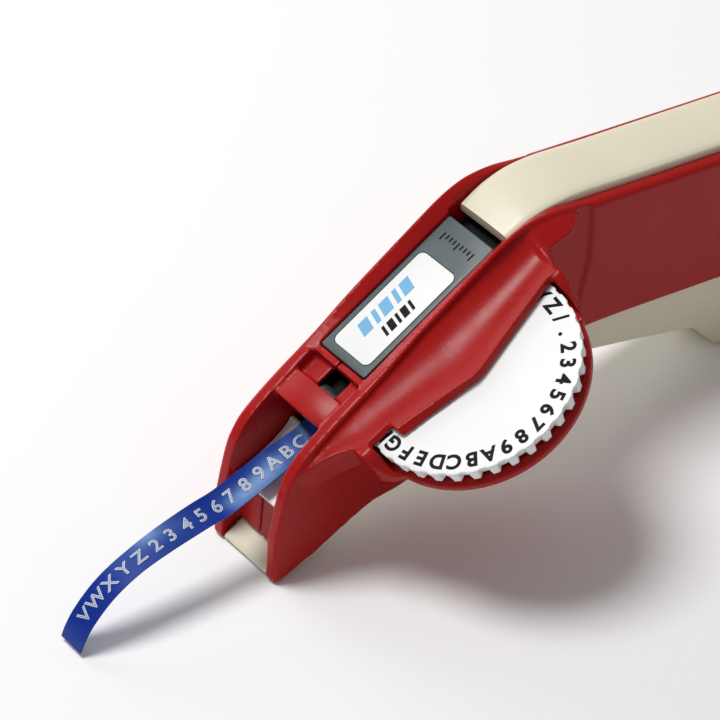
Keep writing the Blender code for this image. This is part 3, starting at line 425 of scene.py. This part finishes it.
def housing_cutters():
    """What is cut out of both halves of the housing."""
    roof = cover_band(COVER_T + 2.0)
    ceiling = [p for p in roof if -60.0 < p[0] < -34.0]
    head_room = [(38.3, 15.0), (90.0, 15.0), (90.0, -60.0), (-60.0, -60.0), *reversed(ceiling), (-31.0, 0.8),
                 (38.3, 0.8)]
    deep = [p for p in cover_band(COVER_T + 3.4) if p[0] < -57.0]
    grip_room = [(-14.0, -10.0), (-14.0, -140.0), (-122.0, -140.0), (-118.3, -99.6), (-139.6, -69.4),
                 *reversed(deep), (-57.0, -12.6), (-48.0, -10.0)]
    seat = cover_band(COVER_T + GAP, 3.0)
    bay = [(-32.6, 30.0), (-32.6, seat[0][1]), *seat, (seat[-1][0] - 10.0, 30.0)]
    belly = [(90.0, -60.0), (90.0, -24.0), (72.2, -27.27), *smooth_rows(BELLY, 3), (-130.0, -130.0),
             (-20.0, -130.0)]
    return [
        rail_cutter(1.0),
        rail_cutter(-1.0),
        prism("belly", belly, -40.0, 40.0),
        prism("head_room", head_room, -HEAD_INNER, HEAD_INNER),
        prism("grip_room", grip_room, -GRIP_INNER, GRIP_INNER),
        prism("seat", bay, -COVER_HALF - GAP, COVER_HALF + GAP),
        block("tape_bay", (-68.0, -8.6, -30.0), (-33.0, 8.6, 20.0)),
        block("thumb_gap", (-34.2, -10.3, -8.0), (-29.2, 10.3, 20.0)),
        block("panel_seat", (-29.3, -9.7, 2.6), (20.8, 9.7, 20.0)),
        block("panel_well", (-26.0, -7.6, -2.0), (18.0, 7.6, 20.0)),
        block("rib_top", (20.5, -HEAD_INNER, 4.7), (23.0, HEAD_INNER, 20.0)),
        block("bridge_top", (22.8, -HEAD_INNER, 4.0), (39.0, HEAD_INNER, 20.0)),
        block("window_recess", (22.8, -9.9, 1.9), (29.5, 9.8, 20.0)),
        block("window_hole", (22.8, -2.65, -3.0), (29.5, 4.95, 20.0)),
        block("cover_ears", (-139.0, -6.6, -72.0), (-127.0, 6.6, -50.0)),
    ]


VALLEY_STEPS = 18


def valley(z_wall, y_ridge, z_ridge, dish, stop):
    """The top of the wheel guard, from the head's wall out towards its ridge: dished, or a plain slope."""
    low = min(1.5, z_ridge)
    points = []
    for k in range(VALLEY_STEPS + 1):
        t = min(1.0, stop * k / VALLEY_STEPS)
        dished = low + (z_wall - low) * (1.0 - t) ** 3.4 + (z_ridge - low) * t ** 2.4
        plain = z_wall + (z_ridge - z_wall) * (0.8 * t + 0.2 * t * t)
        points.append((GUARD_ROOT + (y_ridge - GUARD_ROOT) * t, plain + (dished - plain) * dish))
    return points


def guard_piece(name, rows, skirt):
    """A loft of sections: rows of (x, y_ridge, z_ridge, z_wall, extra, dish, stop), closed by the skirt."""
    rings = []
    for row in rows:
        x, y_ridge, z_ridge, z_wall, _, dish, stop = row
        top = valley(z_wall, y_ridge, z_ridge, dish, stop)
        rings.append([(x, y, z) for y, z in (*top, *skirt(row, *top[-1]))])
    return solid(name, rings)


def turn_to_yz(obj):
    """Swaps X and Y, so that an (x, z) prism along Y becomes a (y, z) prism along X."""
    obj.data.transform(Matrix(((0, 1, 0, 0), (1, 0, 0, 0), (0, 0, 1, 0), (0, 0, 0, 1))))
    obj.data.flip_normals()
    return obj


def fin_outline(inner_radius):
    """The rim behind the wheel, in plan: rows of (angle in degrees, outer radius) about the wheel."""
    outer = smooth_rows([(206.0, 36.4), (198.0, 36.3), (190.0, 36.2), (182.0, 36.2), (176.0, 35.9),
                         (171.5, 34.5), (166.0, 33.4), (160.0, 33.0)], 4)

    def place(angle, radius):
        angle = math.radians(angle)
        return (radius * math.cos(angle), WHEEL_Y + radius * math.sin(angle))

    return [place(a, r) for a, r in outer] + [place(a, inner_radius) for a, _ in reversed(outer)]


def wheel_guard():
    """The pieces of the guard round the wheel, and the cutters that shaped them."""
    cover_at = [(25.1, 27.4, 2.7, 4.0, 29.6, 1.0, 1.0), (12.0, 30.6, 3.0, 5.2, 31.9, 1.0, 1.0),
                (0.8, 33.4, 3.1, 6.6, 33.9, 1.0, 1.0), (-1.4, 33.4, 3.1, 6.7, 33.9, 1.0, 1.0),
                (-12.0, 31.3, 3.1, 7.3, 31.9, 1.0, 1.0), (-23.0, 29.3, 3.1, 7.8, 29.8, 1.0, 1.0),
                (-34.8, 27.2, 3.1, 7.8, 27.6, 1.0, 1.0)]
    cover = guard_piece("cover", cover_at, lambda row, y, z: [(row[4], 0.5), (GUARD_ROOT, 0.5)])
    front_at = smooth_rows([(53.0, 13.6, 0.6, 0.6, 0.2, 1.0, 1.0), (47.0, 15.6, 1.2, 2.0, 0.2, 1.0, 1.0),
                            (42.0, 17.8, 1.9, 3.0, 0.2, 1.0, 1.0), (38.0, 20.6, 2.2, 3.4, 0.2, 1.0, 0.98),
                            (35.6, 23.0, 2.4, 3.6, 0.4, 1.0, 0.93), (33.4, 25.0, 2.6, 3.7, 1.0, 1.0, 0.88),
                            (31.0, 26.0, 2.7, 3.85, 1.6, 1.0, 0.83),
                            (25.0, 27.4, 2.7, 4.0, 1.6, 1.0, 0.755)], 4)
    front = guard_piece("front", front_at,
                        lambda row, y, z: [(y + row[4], z - 2.0),
                                           (12.4 + (y - 12.4) * 0.75, FLANGE_BOTTOM + 0.4),
                                           (GUARD_ROOT, FLANGE_BOTTOM - 2.0)])
    plan = rounded([(32.9, 17.0, 0), (36.0, 17.0, 0), (36.9, 24.0, 3.0), (36.6, 28.4, 3.0),
                    (34.6, 31.6, 2.0), (31.9, 33.6, 1.0), (28.0, 33.8, 0), (28.0, 30.0, 0),
                    (32.9, 28.4, 0.4)])
    lug = prism("lug", plan, FLANGE_BOTTOM + 0.5, 2.9, plan=True)
    drop_line = smooth_rows([(15.0, 0.5), (19.0, 1.4), (22.0, 1.9), (25.0, 2.3), (26.8, 1.6), (28.2, -0.1),
                             (29.6, -2.6), (31.4, -4.8), (34.0, -6.0), (50.0, -7.0)], 3)
    slope = turn_to_yz(prism("slope", [*drop_line, (50.0, 12.0), (15.0, 12.0)], 20.0, 60.0))
    boolean(lug, slope, "DIFFERENCE")
    flare_at = [(x, y, z, z_wall, 0.0, dish, 1.0) for x, y, z, z_wall, dish in smooth_rows(
        [(-33.5, 27.3, 3.1, 7.8, 1.0), (-35.3, 27.2, 3.0, 7.7, 1.0), (-36.4, 25.2, 2.8, 7.5, 0.8),
         (-37.6, 22.6, 2.4, 7.2, 0.45), (-38.9, 20.4, 1.6, 6.9, 0.15), (-41.0, 19.8, 0.9, 6.1, 0.0),
         (-44.0, 19.4, -0.4, 4.7, 0.0), (-46.0, 19.1, -1.2, 3.5, 0.0), (-47.6, 18.8, -1.9, 2.5, 0.0),
         (-49.5, 17.3, -2.4, 1.2, 0.0), (-51.4, 15.8, -2.9, -0.3, 0.0), (-53.0, 14.6, -3.4, -1.7, 0.0)], 4)]
    flare = guard_piece("flare", flare_at,
                        lambda row, y, z: [(y, z - 1.2), (13.4, z - 3.6), (GUARD_ROOT, z - 3.6)])
    fall = turn_to_yz(prism("fall", [(10.0, -2.0), (22.0, 0.4), (26.2, 1.6), (27.2, 2.9), (29.0, 2.5),
                                     (34.0, -2.0), (41.0, -6.3), (60.0, -6.3), (60.0, 20.0), (10.0, 20.0)],
                            -60.0, -20.0))
    fin = prism("fin", fin_outline(32.9), FLANGE_TOP - 0.1, 3.0, plan=True)
    foot = prism("foot", fin_outline(31.0), FLANGE_BOTTOM + 0.4, FLANGE_TOP + 0.2, plan=True)
    boolean(fin, fall, "DIFFERENCE")
    boolean(foot, fall, "DIFFERENCE")
    joins = [cover, front, lug, flare, fin, foot]
    return [baked(piece) for piece in joins], [slope, fall]


LEVER_PIN = (69.4, -26.5)
COVER_PIN = (-133.5, -61.6)
PIN_HOLES = [(LEVER_PIN, 1.1, 12.6), ((29.5, -12.2), 1.5, 11.7), ((29.5, -2.1), 1.15, 11.7),
             (COVER_PIN, PIN_BORE, 9.2)]


def make_housing(side, cutters):
    """One moulded half, from the same outlines as the CAD part but with smooth lines and soft edges."""
    spare = []

    def use(piece, kind="UNION"):
        spare.append(piece)
        boolean(shell, piece, kind)

    outline = [(p.x, p.y) for p in smooth_line(BODY_TOP, 5)] + BODY_LOW
    shell = prism("head", outline, -HEAD_HALF, HEAD_HALF)
    bevel(shell, 0.9)
    grip = prism("grip", outline_of(GRIP, 10), -GRIP_HALF, GRIP_HALF)
    bevel(grip, 4.0, 6)
    baked(grip)
    use(grip)
    if side > 0:
        guard, cut_first = wheel_guard()
        for piece in guard:
            use(piece)
        spare.extend(cut_first)
    for cutter in cutters:
        boolean(shell, cutter, "DIFFERENCE")
    use(prism("wall", [(59.5, -11.6), (67.2, -23.9), (63.7, -23.9), (56.3, -11.6)], -HEAD_INNER - 0.5,
              HEAD_INNER + 0.5))
    for x, z in SCREWS:
        use(rod("boss", (x, z), 2.9, -GRIP_INNER - 0.8, GRIP_INNER + 0.8, sides=24))
    if side > 0:
        use(block("half", (-200.0, -60.0, -150.0), (120.0, 0.1, 60.0)), "DIFFERENCE")
        profile = [(0.05, FLANGE_TOP), (30.6, FLANGE_TOP), (31.9, -6.0), (32.3, -6.7), (32.3, -8.2),
                   (31.7, FLANGE_BOTTOM), (5.2, FLANGE_BOTTOM), (4.6, -11.6), (0.05, -11.6)]
        use(turned("flange", profile, (0.0, WHEEL_Y), 180, plan=True))
        use(rod("guide", (0.0, 0.0), 4.1, -15.3, FLANGE_BOTTOM + 0.5, plan=True))
        use(rod("spring_seat", (-13.0, 4.0), 2.2, -11.4, FLANGE_BOTTOM + 0.5, plan=True))
        use(rod("pocket", (0.0, WHEEL_Y), 32.9, -5.45, 0.5, plan=True, sides=180), "DIFFERENCE")
        use(rod("ram_way", (0.0, 0.0), 2.8, -20.0, 0.0, plan=True), "DIFFERENCE")
        use(rod("axle_way", (0.0, WHEEL_Y), 2.2, -10.6, 1.7, plan=True), "DIFFERENCE")
        for x, z in SCREWS:
            use(rod("thread", (x, z), 1.25, -5.0, 8.6), "DIFFERENCE")
    else:
        use(block("half", (-200.0, -0.1, -150.0), (120.0, 60.0, 60.0)), "DIFFERENCE")
        for x, z in SCREWS:
            face = HEAD_HALF if x > -50.0 else GRIP_HALF
            use(rod("shaft", (x, z), 1.25, -20.0, 5.0), "DIFFERENCE")
            use(rod("head_seat", (x, z), 2.7, -20.0, 2.3 - face), "DIFFERENCE")
    for place, radius, reach in PIN_HOLES:
        use(rod("pin_hole", place, radius, -reach, reach), "DIFFERENCE")
    baked(shell)
    drop(spare)
    node = "housing_left" if side > 0 else "housing_right"
    shell.name = node + "_shell"
    soften(shell, 0.55)
    return settle(shell, RED, "housing", node, slot="red_abs", sharp=180.0)


housing_cuts = housing_cutters()
make_housing(1, housing_cuts)
make_housing(-1, housing_cuts)
drop(housing_cuts)


# ---------------------------------------------------------------- lever and cover

LEVER_HALF = 11.75
LEVER_WALL = 2.0
ARM_HALF = 9.6
ARM = [(66.6, -24.9, 0), (73.2, -24.9, 0.5), (74.2, -25.6, 0.3), (73.6, -26.0, 0.4), (70.3, -27.7, 0.8),
       (63.7, -28.1, 0), (51.5, -29.0, 0), (45.0, -29.6, 0), (38.8, -30.7, 0), (31.9, -33.7, 0),
       (26.0, -35.3, 0), (20.0, -36.0, 0), (-14.0, -36.2, 0), (-26.0, -39.5, 0), (-26.0, -35.0, 0),
       (-14.0, -32.6, 0), (24.0, -32.4, 0), (31.0, -30.4, 0), (38.8, -27.6, 0), (51.5, -26.0, 0)]
HANDLE = [(-15.5, -32.6, 1.5), (-30.0, -33.4, 8), (-38.7, -37.8, 6), (-53.6, -48.2, 0), (-79.1, -66.4, 0),
          (-113.5, -91.0, 3.0), (-119.0, -99.5, 6.0), (-112.5, -107.6, 6.0), (-97.0, -102.6, 9.0),
          (-88.0, -97.4, 3.5), (-83.2, -105.76, 3.5), (-69.4, -98.79, 2.5), (-65.6, -84.6, 3.5),
          (-49.0, -68.3, 0), (-37.5, -57.6, 8.0), (-17.5, -37.6, 3.0)]
HANDLE_HOLLOW = [(-10.0, -20.0, 0), (-19.0, -36.0, 1.5), (-38.5, -55.0, 6.0), (-50.0, -66.0, 0),
                 (-66.6, -81.9, 3.0), (-71.6, -95.6, 2.0), (-81.4, -100.6, 2.0), (-86.6, -93.9, 3.0),
                 (-97.0, -99.8, 6.0), (-111.8, -104.6, 4.0), (-116.2, -99.2, 4.0), (-113.0, -80.0, 0),
                 (-60.0, -30.0, 0)]


def carved(shell, steps):
    """Applies (kind, piece) booleans to a shell and removes the pieces that made them."""
    for kind, piece in steps:
        boolean(shell, piece, kind)
    baked(shell)
    drop([piece for _, piece in steps])
    return shell


def make_lever():
    lever = prism("lever_arm", outline_of(HANDLE), -LEVER_HALF, LEVER_HALF)
    bevel(lever, 1.1, 4)
    arm = prism("arm", outline_of(ARM), -ARM_HALF, ARM_HALF)
    bevel(arm, 0.35, 2)
    baked(arm)
    carved(lever, [
        ("DIFFERENCE", prism("hollow", outline_of(HANDLE_HOLLOW), LEVER_WALL - LEVER_HALF,
                             LEVER_HALF - LEVER_WALL)),
        ("UNION", arm),
        ("UNION", block("post", (21.2, -9.4, -34.0), (23.2, -7.9, -17.3))),
        ("UNION", rod("peg", (-13.0, 4.0), 2.2, -33.0, -30.2, plan=True)),
        ("DIFFERENCE", rod("bore", LEVER_PIN, PIN_BORE, -12.0, 12.0)),
    ])
    soften(lever, 0.4)
    settle(lever, CREAM, "lever", "lever", slot="cream_plastic", sharp=180.0)


EAR_IN = 3.9
EAR_OUT = 5.9


def make_cover():
    """The crowned strip over the tape bay and the grip, with its hinge ears and front latch."""
    line = smooth_line(COVER_LINE, 6)
    rings = []
    for number, (p, n) in enumerate(zip(line, normals_of(line))):
        half = COVER_HALF - 0.6 * max(0.0, min(1.0, (p.x + 50.0) / 17.0))
        lead = 1.0 if number == 0 else 0.0
        crown = [(y, 0.75 * (1.0 - (y / 11.0) ** 2)) for y in (k * 1.2 for k in range(-7, 8))]
        section = [(-half, -COVER_T), (-half, -0.75), (-half + 0.12, -0.35), (-half + 0.4, -0.05), *crown,
                   (half - 0.4, -0.05), (half - 0.12, -0.35), (half, -0.75), (half, -COVER_T)]
        rings.append([(p.x + n.x * up - lead * (0.65 + up / COVER_T), y, p.y + n.y * up)
                      for y, up in section])
    cover = solid("cover_strip", rings)
    bevel(cover, 0.3, 3, 40.0)
    x, z = COVER_PIN
    ear = [(x - 1.9, z - 1.6), (x + 0.6, z - 2.3), (x + 2.3, z - 0.6), (x + 5.0, z + 6.2),
           (x + 1.4, z + 4.0), (x - 1.6, z + 1.0)]
    carved(cover, [
        ("UNION", prism("ear_near", ear, EAR_IN, EAR_OUT)),
        ("UNION", prism("ear_far", ear, -EAR_OUT, -EAR_IN)),
        ("DIFFERENCE", rod("hole", COVER_PIN, PIN_BORE, -8.0, 8.0)),
        ("UNION", block("latch", (-38.6, -3.0, -1.6), (-36.4, 3.0, 3.6))),
        ("UNION", block("lip", (-35.3, -8.3, 1.5), (-33.9, 8.3, 3.6))),
    ])
    settle(cover, CREAM, "cover", "grip_cover", slot="cream_plastic")


# ---------------------------------------------------------------- character wheel

TEETH = 36
TOOTH_STEPS = 18
LETTER_RING = 28.15
PRINT_HEIGHT = 4.05
PRINT_T = 0.02
PRINT_BOLD = 0.19
PRINT_FLAT = 0.25
CAPITAL = 0.682
DIAL = "GFEDCBA98765432./ZYXWVUTSRQPONMLKJIH"


def toothed(height, tip, root, share):
    """One ring of the wheel's edge: a rounded tooth on each step, falling to the root between."""
    ring = []
    for k in range(TEETH * TOOTH_STEPS):
        turn = k / TOOTH_STEPS
        off = abs(turn - round(turn)) * 2.0
        t = min(1.0, max(0.0, (off - share + 0.12) / 0.24))
        radius = tip + (root - tip) * t * t * (3.0 - 2.0 * t)
        angle = 2.0 * math.pi * turn / TEETH
        ring.append((radius * math.cos(angle), WHEEL_Y + radius * math.sin(angle), height))
    return ring


def make_wheel():
    """A closed profile of toothed rings: rows of (height, tip radius, root radius, tooth's share)."""
    rows = [(-3.4, 4.0, 4.0, 0.5), (-3.4, 29.6, 29.6, 0.5), (-4.4, 29.6, 29.6, 0.5),
            (-4.6, 31.35, 29.65, 0.46), (-4.4, 31.5, 29.7, 0.48), (-3.4, 31.55, 29.3, 0.52),
            (-1.0, 31.8, 29.2, 0.7), (-0.85, 31.85, 31.3, 0.6), (-0.75, 32.0, 31.6, 0.6),
            (-0.25, 32.0, 31.6, 0.6), (-0.08, 31.9, 31.5, 0.6), (0.0, 31.65, 31.25, 0.6),
            (0.0, 30.2, 30.2, 0.5), (0.0, 4.0, 4.0, 0.5)]
    wheel = solid("wheel_disc", [toothed(*row) for row in rows], closed=True)
    settle(wheel, WHITE, "wheel", "character_wheel", slot="white_plastic", sharp=38.0)


def glyph_mesh(character, height, thick, embolden, soft):
    """One character as a flat solid, centred on its own middle, its capitals this high."""
    curve = bpy.data.curves.new("glyph", "FONT")
    curve.body = character
    curve.size = height / CAPITAL
    curve.extrude = thick / 2.0
    curve.offset = embolden
    curve.bevel_depth = soft
    curve.bevel_resolution = 1
    curve.resolution_u = 6
    holder = bpy.data.objects.new("glyph", curve)
    bpy.context.scene.collection.objects.link(holder)
    graph = bpy.context.evaluated_depsgraph_get()
    mesh = bpy.data.meshes.new_from_object(holder.evaluated_get(graph))
    bpy.data.objects.remove(holder)
    bpy.data.curves.remove(curve)
    mesh.materials.clear()
    if character == ".":
        low, high = 0.0, height
    else:
        low, high = (f(v.co.y for v in mesh.vertices) for f in (min, max))
    left, right = (f(v.co.x for v in mesh.vertices) for f in (min, max))
    mesh.transform(Matrix.Translation((-(left + right) / 2.0, -(low + high) / 2.0, 0.0)))
    return mesh


def joined(name, meshes):
    """One object from several meshes, with touching points welded."""
    work = bmesh.new()
    for mesh in meshes:
        work.from_mesh(mesh)
        bpy.data.meshes.remove(mesh)
    bmesh.ops.remove_doubles(work, verts=work.verts, dist=0.0005)
    made = bpy.data.meshes.new(name)
    work.to_mesh(made)
    work.free()
    return raw(name, made)


def merged(name, objects):
    meshes = [obj.data for obj in objects]
    for obj in objects:
        bpy.data.objects.remove(obj)
    return joined(name, meshes)


def make_dial():
    """The printed characters, one to each tooth, their tops outward."""
    printed = []
    for step, character in enumerate(DIAL):
        angle = 2.0 * math.pi * step / TEETH
        out = Vector((math.cos(angle), math.sin(angle), 0.0))
        along = Vector((math.sin(angle), -math.cos(angle), 0.0))
        place = Matrix((along, out, (0.0, 0.0, 1.0))).transposed().to_4x4()
        place.translation = out * LETTER_RING + Vector((0.0, WHEEL_Y, PRINT_T))
        mesh = glyph_mesh(character, PRINT_HEIGHT, PRINT_T, 0.035, PRINT_BOLD)
        mesh.transform(Matrix.Diagonal((1.0, 1.0, PRINT_FLAT, 1.0)))
        mesh.transform(place)
        printed.append(mesh)
    settle(joined("wheel_characters", printed), INK_AND_SHADE, "wheel", slot="dark_plastic")


# ---------------------------------------------------------------- tape

TAPE_HALF = 4.5
TAPE_T = 0.35
TAPE_LEAN = math.radians(16.0)
LEAN_FROM = 34.0
LEAN_TO = 98.0
TAPE_BOW = 0.5
BOW_SHIFT = 0.4
TAPE_LETTER = 3.9
TAPE_LINE = [(-50.0, -6.4), (-24.0, -3.75), (0.0, -3.75), (22.0, -3.75), (29.5, -5.1), (35.0, -7.1),
             (40.5, -7.9), (46.0, -6.8), (52.0, -5.4), (61.5, -3.8), (70.0, -2.1), (77.0, 0.6),
             (88.0, 4.2), (97.5, 6.5), (105.0, 7.2), (111.5, 6.6), (118.0, 4.7), (122.2, 2.5),
             (125.0, 0.4)]
TAPE_TEXT = "VWXYZ23456789ABC"
TAPE_MARKS = [117.0, 112.0, 106.6, 101.3, 96.2, 90.9, 86.0, 81.0, 76.4, 71.7, 67.0, 62.0, 57.0, 52.2,
              47.4, 43.0]


def tape_frames(steps=8):
    """Along the tape: its middle, the directions across it and out of its top, and how far it bows."""
    line = smooth_line(TAPE_LINE, steps)
    frames = []
    for point, up in zip(line, normals_of(line)):
        lean = 0.0
        if LEAN_FROM < point.x < LEAN_TO:
            lean = math.sin(math.pi * (point.x - LEAN_FROM) / (LEAN_TO - LEAN_FROM)) * TAPE_LEAN
        across = Vector((up.x * -math.sin(lean), math.cos(lean), up.y * -math.sin(lean)))
        out = Vector((up.x * math.cos(lean), math.sin(lean), up.y * math.cos(lean)))
        frames.append((Vector((point.x, 0.0, point.y)), across, out, TAPE_BOW * lean / TAPE_LEAN))
    return frames


def make_tape():
    """The strip, bowed across its width, and the raised characters on it with their darker cores."""
    half = [(-1.0, 0.0), *((a, 0.5) for a in (-0.985, -0.75, -0.5, -0.25, 0.0, 0.25, 0.5, 0.75, 0.985))]
    section = half + [(-a, -b) for a, b in half]
    rings = []
    for middle, across, out, bow in tape_frames():
        rings.append([middle + across * (TAPE_HALF * a) + out * (TAPE_T * b + bow * a * a - bow * BOW_SHIFT)
                      for a, b in section])
    settle(solid("tape", rings), BLUE, "housing", "tape_strip", slot="blue_tape")
    fine = tape_frames(60)
    for name, mat, lift, thick, grow, soft in (("tape_characters", EMBOSS, 0.1, 0.24, 0.04, 0.05),
                                               ("tape_character_cores", CORE, 0.24, 0.1, -0.11, 0.0)):
        raised = []
        for mark, character in zip(TAPE_MARKS, TAPE_TEXT):
            middle, across, out, bow = min(fine, key=lambda f: abs(f[0].x - mark))
            along = (-across).cross(out)
            place = Matrix((along, -across, out)).transposed().to_4x4()
            place.translation = middle + out * (TAPE_T * 0.5 + lift - bow * BOW_SHIFT)
            mesh = glyph_mesh(character, TAPE_LETTER, thick, grow, soft)
            mesh.transform(place)
            raised.append(mesh)
        settle(joined(name, raised), mat, "housing", slot="white_plastic")


# ---------------------------------------------------------------- panel, sticker, chute and screws

STICKER_TOP = 4.98
INK_LEVEL = 4.97
INK_T = 0.03


def plate(name, corners, low, high, soft):
    """A flat plate with rounded corners (x, y, radius) and softened edges."""
    made = prism(name, outline_of(corners), low, high, plan=True)
    bevel(made, soft, 3)
    return baked(made)


def square(x0, x1, y_half, radius):
    return [(x0, -y_half, radius), (x1, -y_half, radius), (x1, y_half, radius), (x0, y_half, radius)]


def slanted(name, x, y, width, height, lean, level):
    """A slanted printed bar seen upright from the +Y side."""
    points = [(x, y), (x - width, y), (x - width - lean, y - height), (x - lean, y - height)]
    return prism(name, points, level, level + INK_T, plan=True)


def make_panel():
    panel = plate("panel", square(-29.0, 20.5, 9.4, 0.7), 2.9, 4.9, 0.3)
    carved(panel, [("DIFFERENCE", prism("seat", outline_of(square(-17.0, 18.1, 7.75, 2.3)), 4.55, 8.0,
                                        plan=True))])
    settle(panel, SLATE, "housing", "label_panel", slot="slate_plastic")
    sticker = plate("sticker", square(-16.7, 17.8, 7.45, 2.0), 4.65, STICKER_TOP, 0.08)
    settle(sticker, STICKER, "housing", "panel_sticker", slot="sticker_paper")
    ticks = []
    for step in range(-4, 5):
        y = 1.5 * step
        length = 2.6 if step % 4 == 0 else 1.6
        ticks.append(block("tick", (-24.6, y - 0.28, 4.88), (-24.6 + length, y + 0.28, 4.94)))
    settle(merged("panel_scale", ticks), INK_AND_SHADE, "housing", slot="dark_plastic")
    blue = [slanted("bar", x, -0.2, width, 4.6, 1.3, INK_LEVEL)
            for x, width in ((11.8, 3.6), (6.8, 1.6), (4.0, 3.6), (-1.0, 1.6), (-3.8, 3.6))]
    settle(merged("sticker_blue_marks", blue), PALE_BLUE, "housing", slot="blue_tape")
    black = [slanted("bar", x, 5.0, width, 3.5, 0.8, INK_LEVEL)
             for x, width in ((7.8, 1.0), (5.9, 2.2), (2.8, 1.0), (0.9, 2.2), (-2.2, 1.0))]
    settle(merged("sticker_black_marks", black), INK_AND_SHADE, "housing", slot="dark_plastic")


def make_chute():
    top = smooth_rows([(39.0, -8.9), (41.2, -9.9), (44.0, -10.5), (48.0, -10.8), (54.0, -10.4),
                       (58.0, -9.7), (60.4, -9.1)], 5)
    low = smooth_rows([(60.7, -9.7), (58.6, -11.1), (54.0, -11.7), (48.0, -12.1), (43.2, -11.8),
                       (39.6, -10.8), (38.2, -9.4)], 5)
    chute = prism("chute", top + low, -9.75, 9.75)
    bevel(chute, 0.2, 2)
    settle(baked(chute), WHITE, "housing", "exit_chute", slot="white_plastic")


def make_shade_plates_and_skin():
    """Near-black plates of painted shade under the gap and the window, and the skin over the bridge."""
    # Painted shade: thin near-black plates stand in for the shade inside the gap and the window.
    for name, low, high in (("gap_shade_plate", (-35.6, -10.2, -2.6), (-28.4, 10.2, -1.9)),
                            ("window_shade_plate", (22.2, -5.0, -2.9), (27.0, 6.0, -2.6))):
        settle(block(name, low, high), INK_AND_SHADE, "housing", slot="dark_plastic")
    skin = block("bridge_skin", (29.8, -9.0, 3.4), (38.3, 9.0, 4.04))
    bevel(skin, 0.12, 2)
    settle(baked(skin), RED, "housing", slot="red_abs")


def coil(name, place, radius, wire, low, high, turns):
    """A helical spring along Z, as a tube of eight-sided sections."""
    steps = 24
    rings = []
    for k in range(turns * steps + 1):
        angle = 2.0 * math.pi * k / steps
        height = low + (high - low) * k / (turns * steps)
        rings.append([(place[0] + r * math.cos(angle), place[1] + r * math.sin(angle), height + up)
                      for r, up in circle((radius, 0.0), wire, 8)])
    return solid(name, rings)


def make_springs():
    """The lever's return spring and the ram's spring; the real ones shorten as the lever is squeezed, these
    coils keep one length.
    """
    for name, body, place, radius, wire, low, high, turns, fixed, keep in (
            ("return_spring", "housing", (-13.0, 4.0), 3.1, 0.4, -31.2, -10.2, 8, -9.8, 0.6),
            ("ram_spring", "lever", (0.0, 0.0), 2.1, 0.35, -31.25, -20.75, 5, -31.6, 0.6)):
        spring = coil(name + "_coil", place, radius, wire, low, high, turns)
        settle(spring, STEEL, body, name, slot="steel")
        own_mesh(spring)


def make_screws():
    for number, (x, z) in enumerate(SCREWS, 1):
        face = HEAD_HALF if x > -50.0 else GRIP_HALF
        top = 0.7 - face
        tail = [(0.05, 8.2), (0.6, 7.9), (1.0, 7.0), (1.0, top + 1.6), (2.1, top + 1.6), (2.38, top + 1.45),
                (2.4, top + 0.9), (2.1, top + 0.4), (1.4, top + 0.1), (0.05, top)]
        screw = turned("screw", tail, (x, z), 40)
        carved(screw, [
            ("DIFFERENCE", block("slot", (x - 1.6, top - 1.0, z - 0.28), (x + 1.6, top + 0.85, z + 0.28))),
            ("DIFFERENCE", block("cross", (x - 0.28, top - 1.0, z - 1.6), (x + 0.28, top + 0.85, z + 1.6))),
        ])
        screw.name = f"screw_{number}"
        settle(screw, STEEL, "housing", f"housing_screw_{number}", slot="steel")


make_lever()
make_cover()
make_wheel()
make_dial()
make_tape()
make_panel()
make_chute()
make_shade_plates_and_skin()
make_springs()
make_screws()


# ---------------------------------------------------------------- floor, light and camera

def floor_material():
    n = Nodes("pale_floor")
    n.link(n.mix(n.noise(3.0, 4.0), (0.90, 0.90, 0.90), (0.93, 0.93, 0.93)), n.shader, "Base Color")
    n.shader.inputs["Roughness"].default_value = 0.85
    n.bump(n.noise(800.0, 2.0), 0.05, 0.0001)
    return n.mat


def make_stage():
    mesh = bpy.data.meshes.new("floor")
    work = bmesh.new()
    bmesh.ops.create_grid(work, x_segments=8, y_segments=8, size=6.0)
    work.to_mesh(mesh)
    work.free()
    floor = bpy.data.objects.new("floor", mesh)
    bpy.context.scene.collection.objects.link(floor)
    floor.location = (0.0, 0.0, -0.0005)
    mesh.materials.append(floor_material())


def area_light(name, place, target, size, power):
    data = bpy.data.lights.new(name, "AREA")
    data.shape = "DISK"
    data.size = size
    data.energy = power
    lamp = bpy.data.objects.new(name, data)
    bpy.context.scene.collection.objects.link(lamp)
    lamp.location = place
    aim = Vector(target) - Vector(place)
    lamp.rotation_euler = aim.to_track_quat("-Z", "Y").to_euler()


def make_light():
    world = bpy.data.worlds.new("studio")
    bpy.context.scene.world = world
    world.use_nodes = True
    back = world.node_tree.nodes["Background"]
    back.inputs["Color"].default_value = (1.0, 1.0, 1.0, 1.0)
    back.inputs["Strength"].default_value = 0.28
    area_light("key", (0.35, -0.45, 1.45), (0.0, 0.0, 0.05), 0.6, 17.0)
    area_light("rim", (0.1, -1.3, 0.5), (0.0, 0.0, 0.05), 0.9, 6.0)
    bpy.context.scene.view_settings.view_transform = "Standard"


def make_camera():
    """The long lens at the photo's angle, with its axes and its place given in the head frame."""
    data = bpy.data.cameras.new("camera")
    data.sensor_width = 36.0
    data.lens = 208.5
    data.clip_start = 0.05
    data.clip_end = 30.0
    camera = bpy.data.objects.new("camera", data)
    bpy.context.scene.collection.objects.link(camera)
    right = TURN @ Vector((-0.7031, 0.6134, -0.3598))
    down = TURN @ Vector((0.6993, 0.5048, -0.5060))
    ahead = TURN @ Vector((-0.1288, -0.6074, -0.7839))
    pose = Matrix((right, -down, -ahead)).transposed().to_4x4()
    pose.translation = STANCE @ Vector((160.8, 680.95, 878.4))
    camera.matrix_world = pose
    bpy.context.scene.camera = camera


make_stage()
make_light()
make_camera()
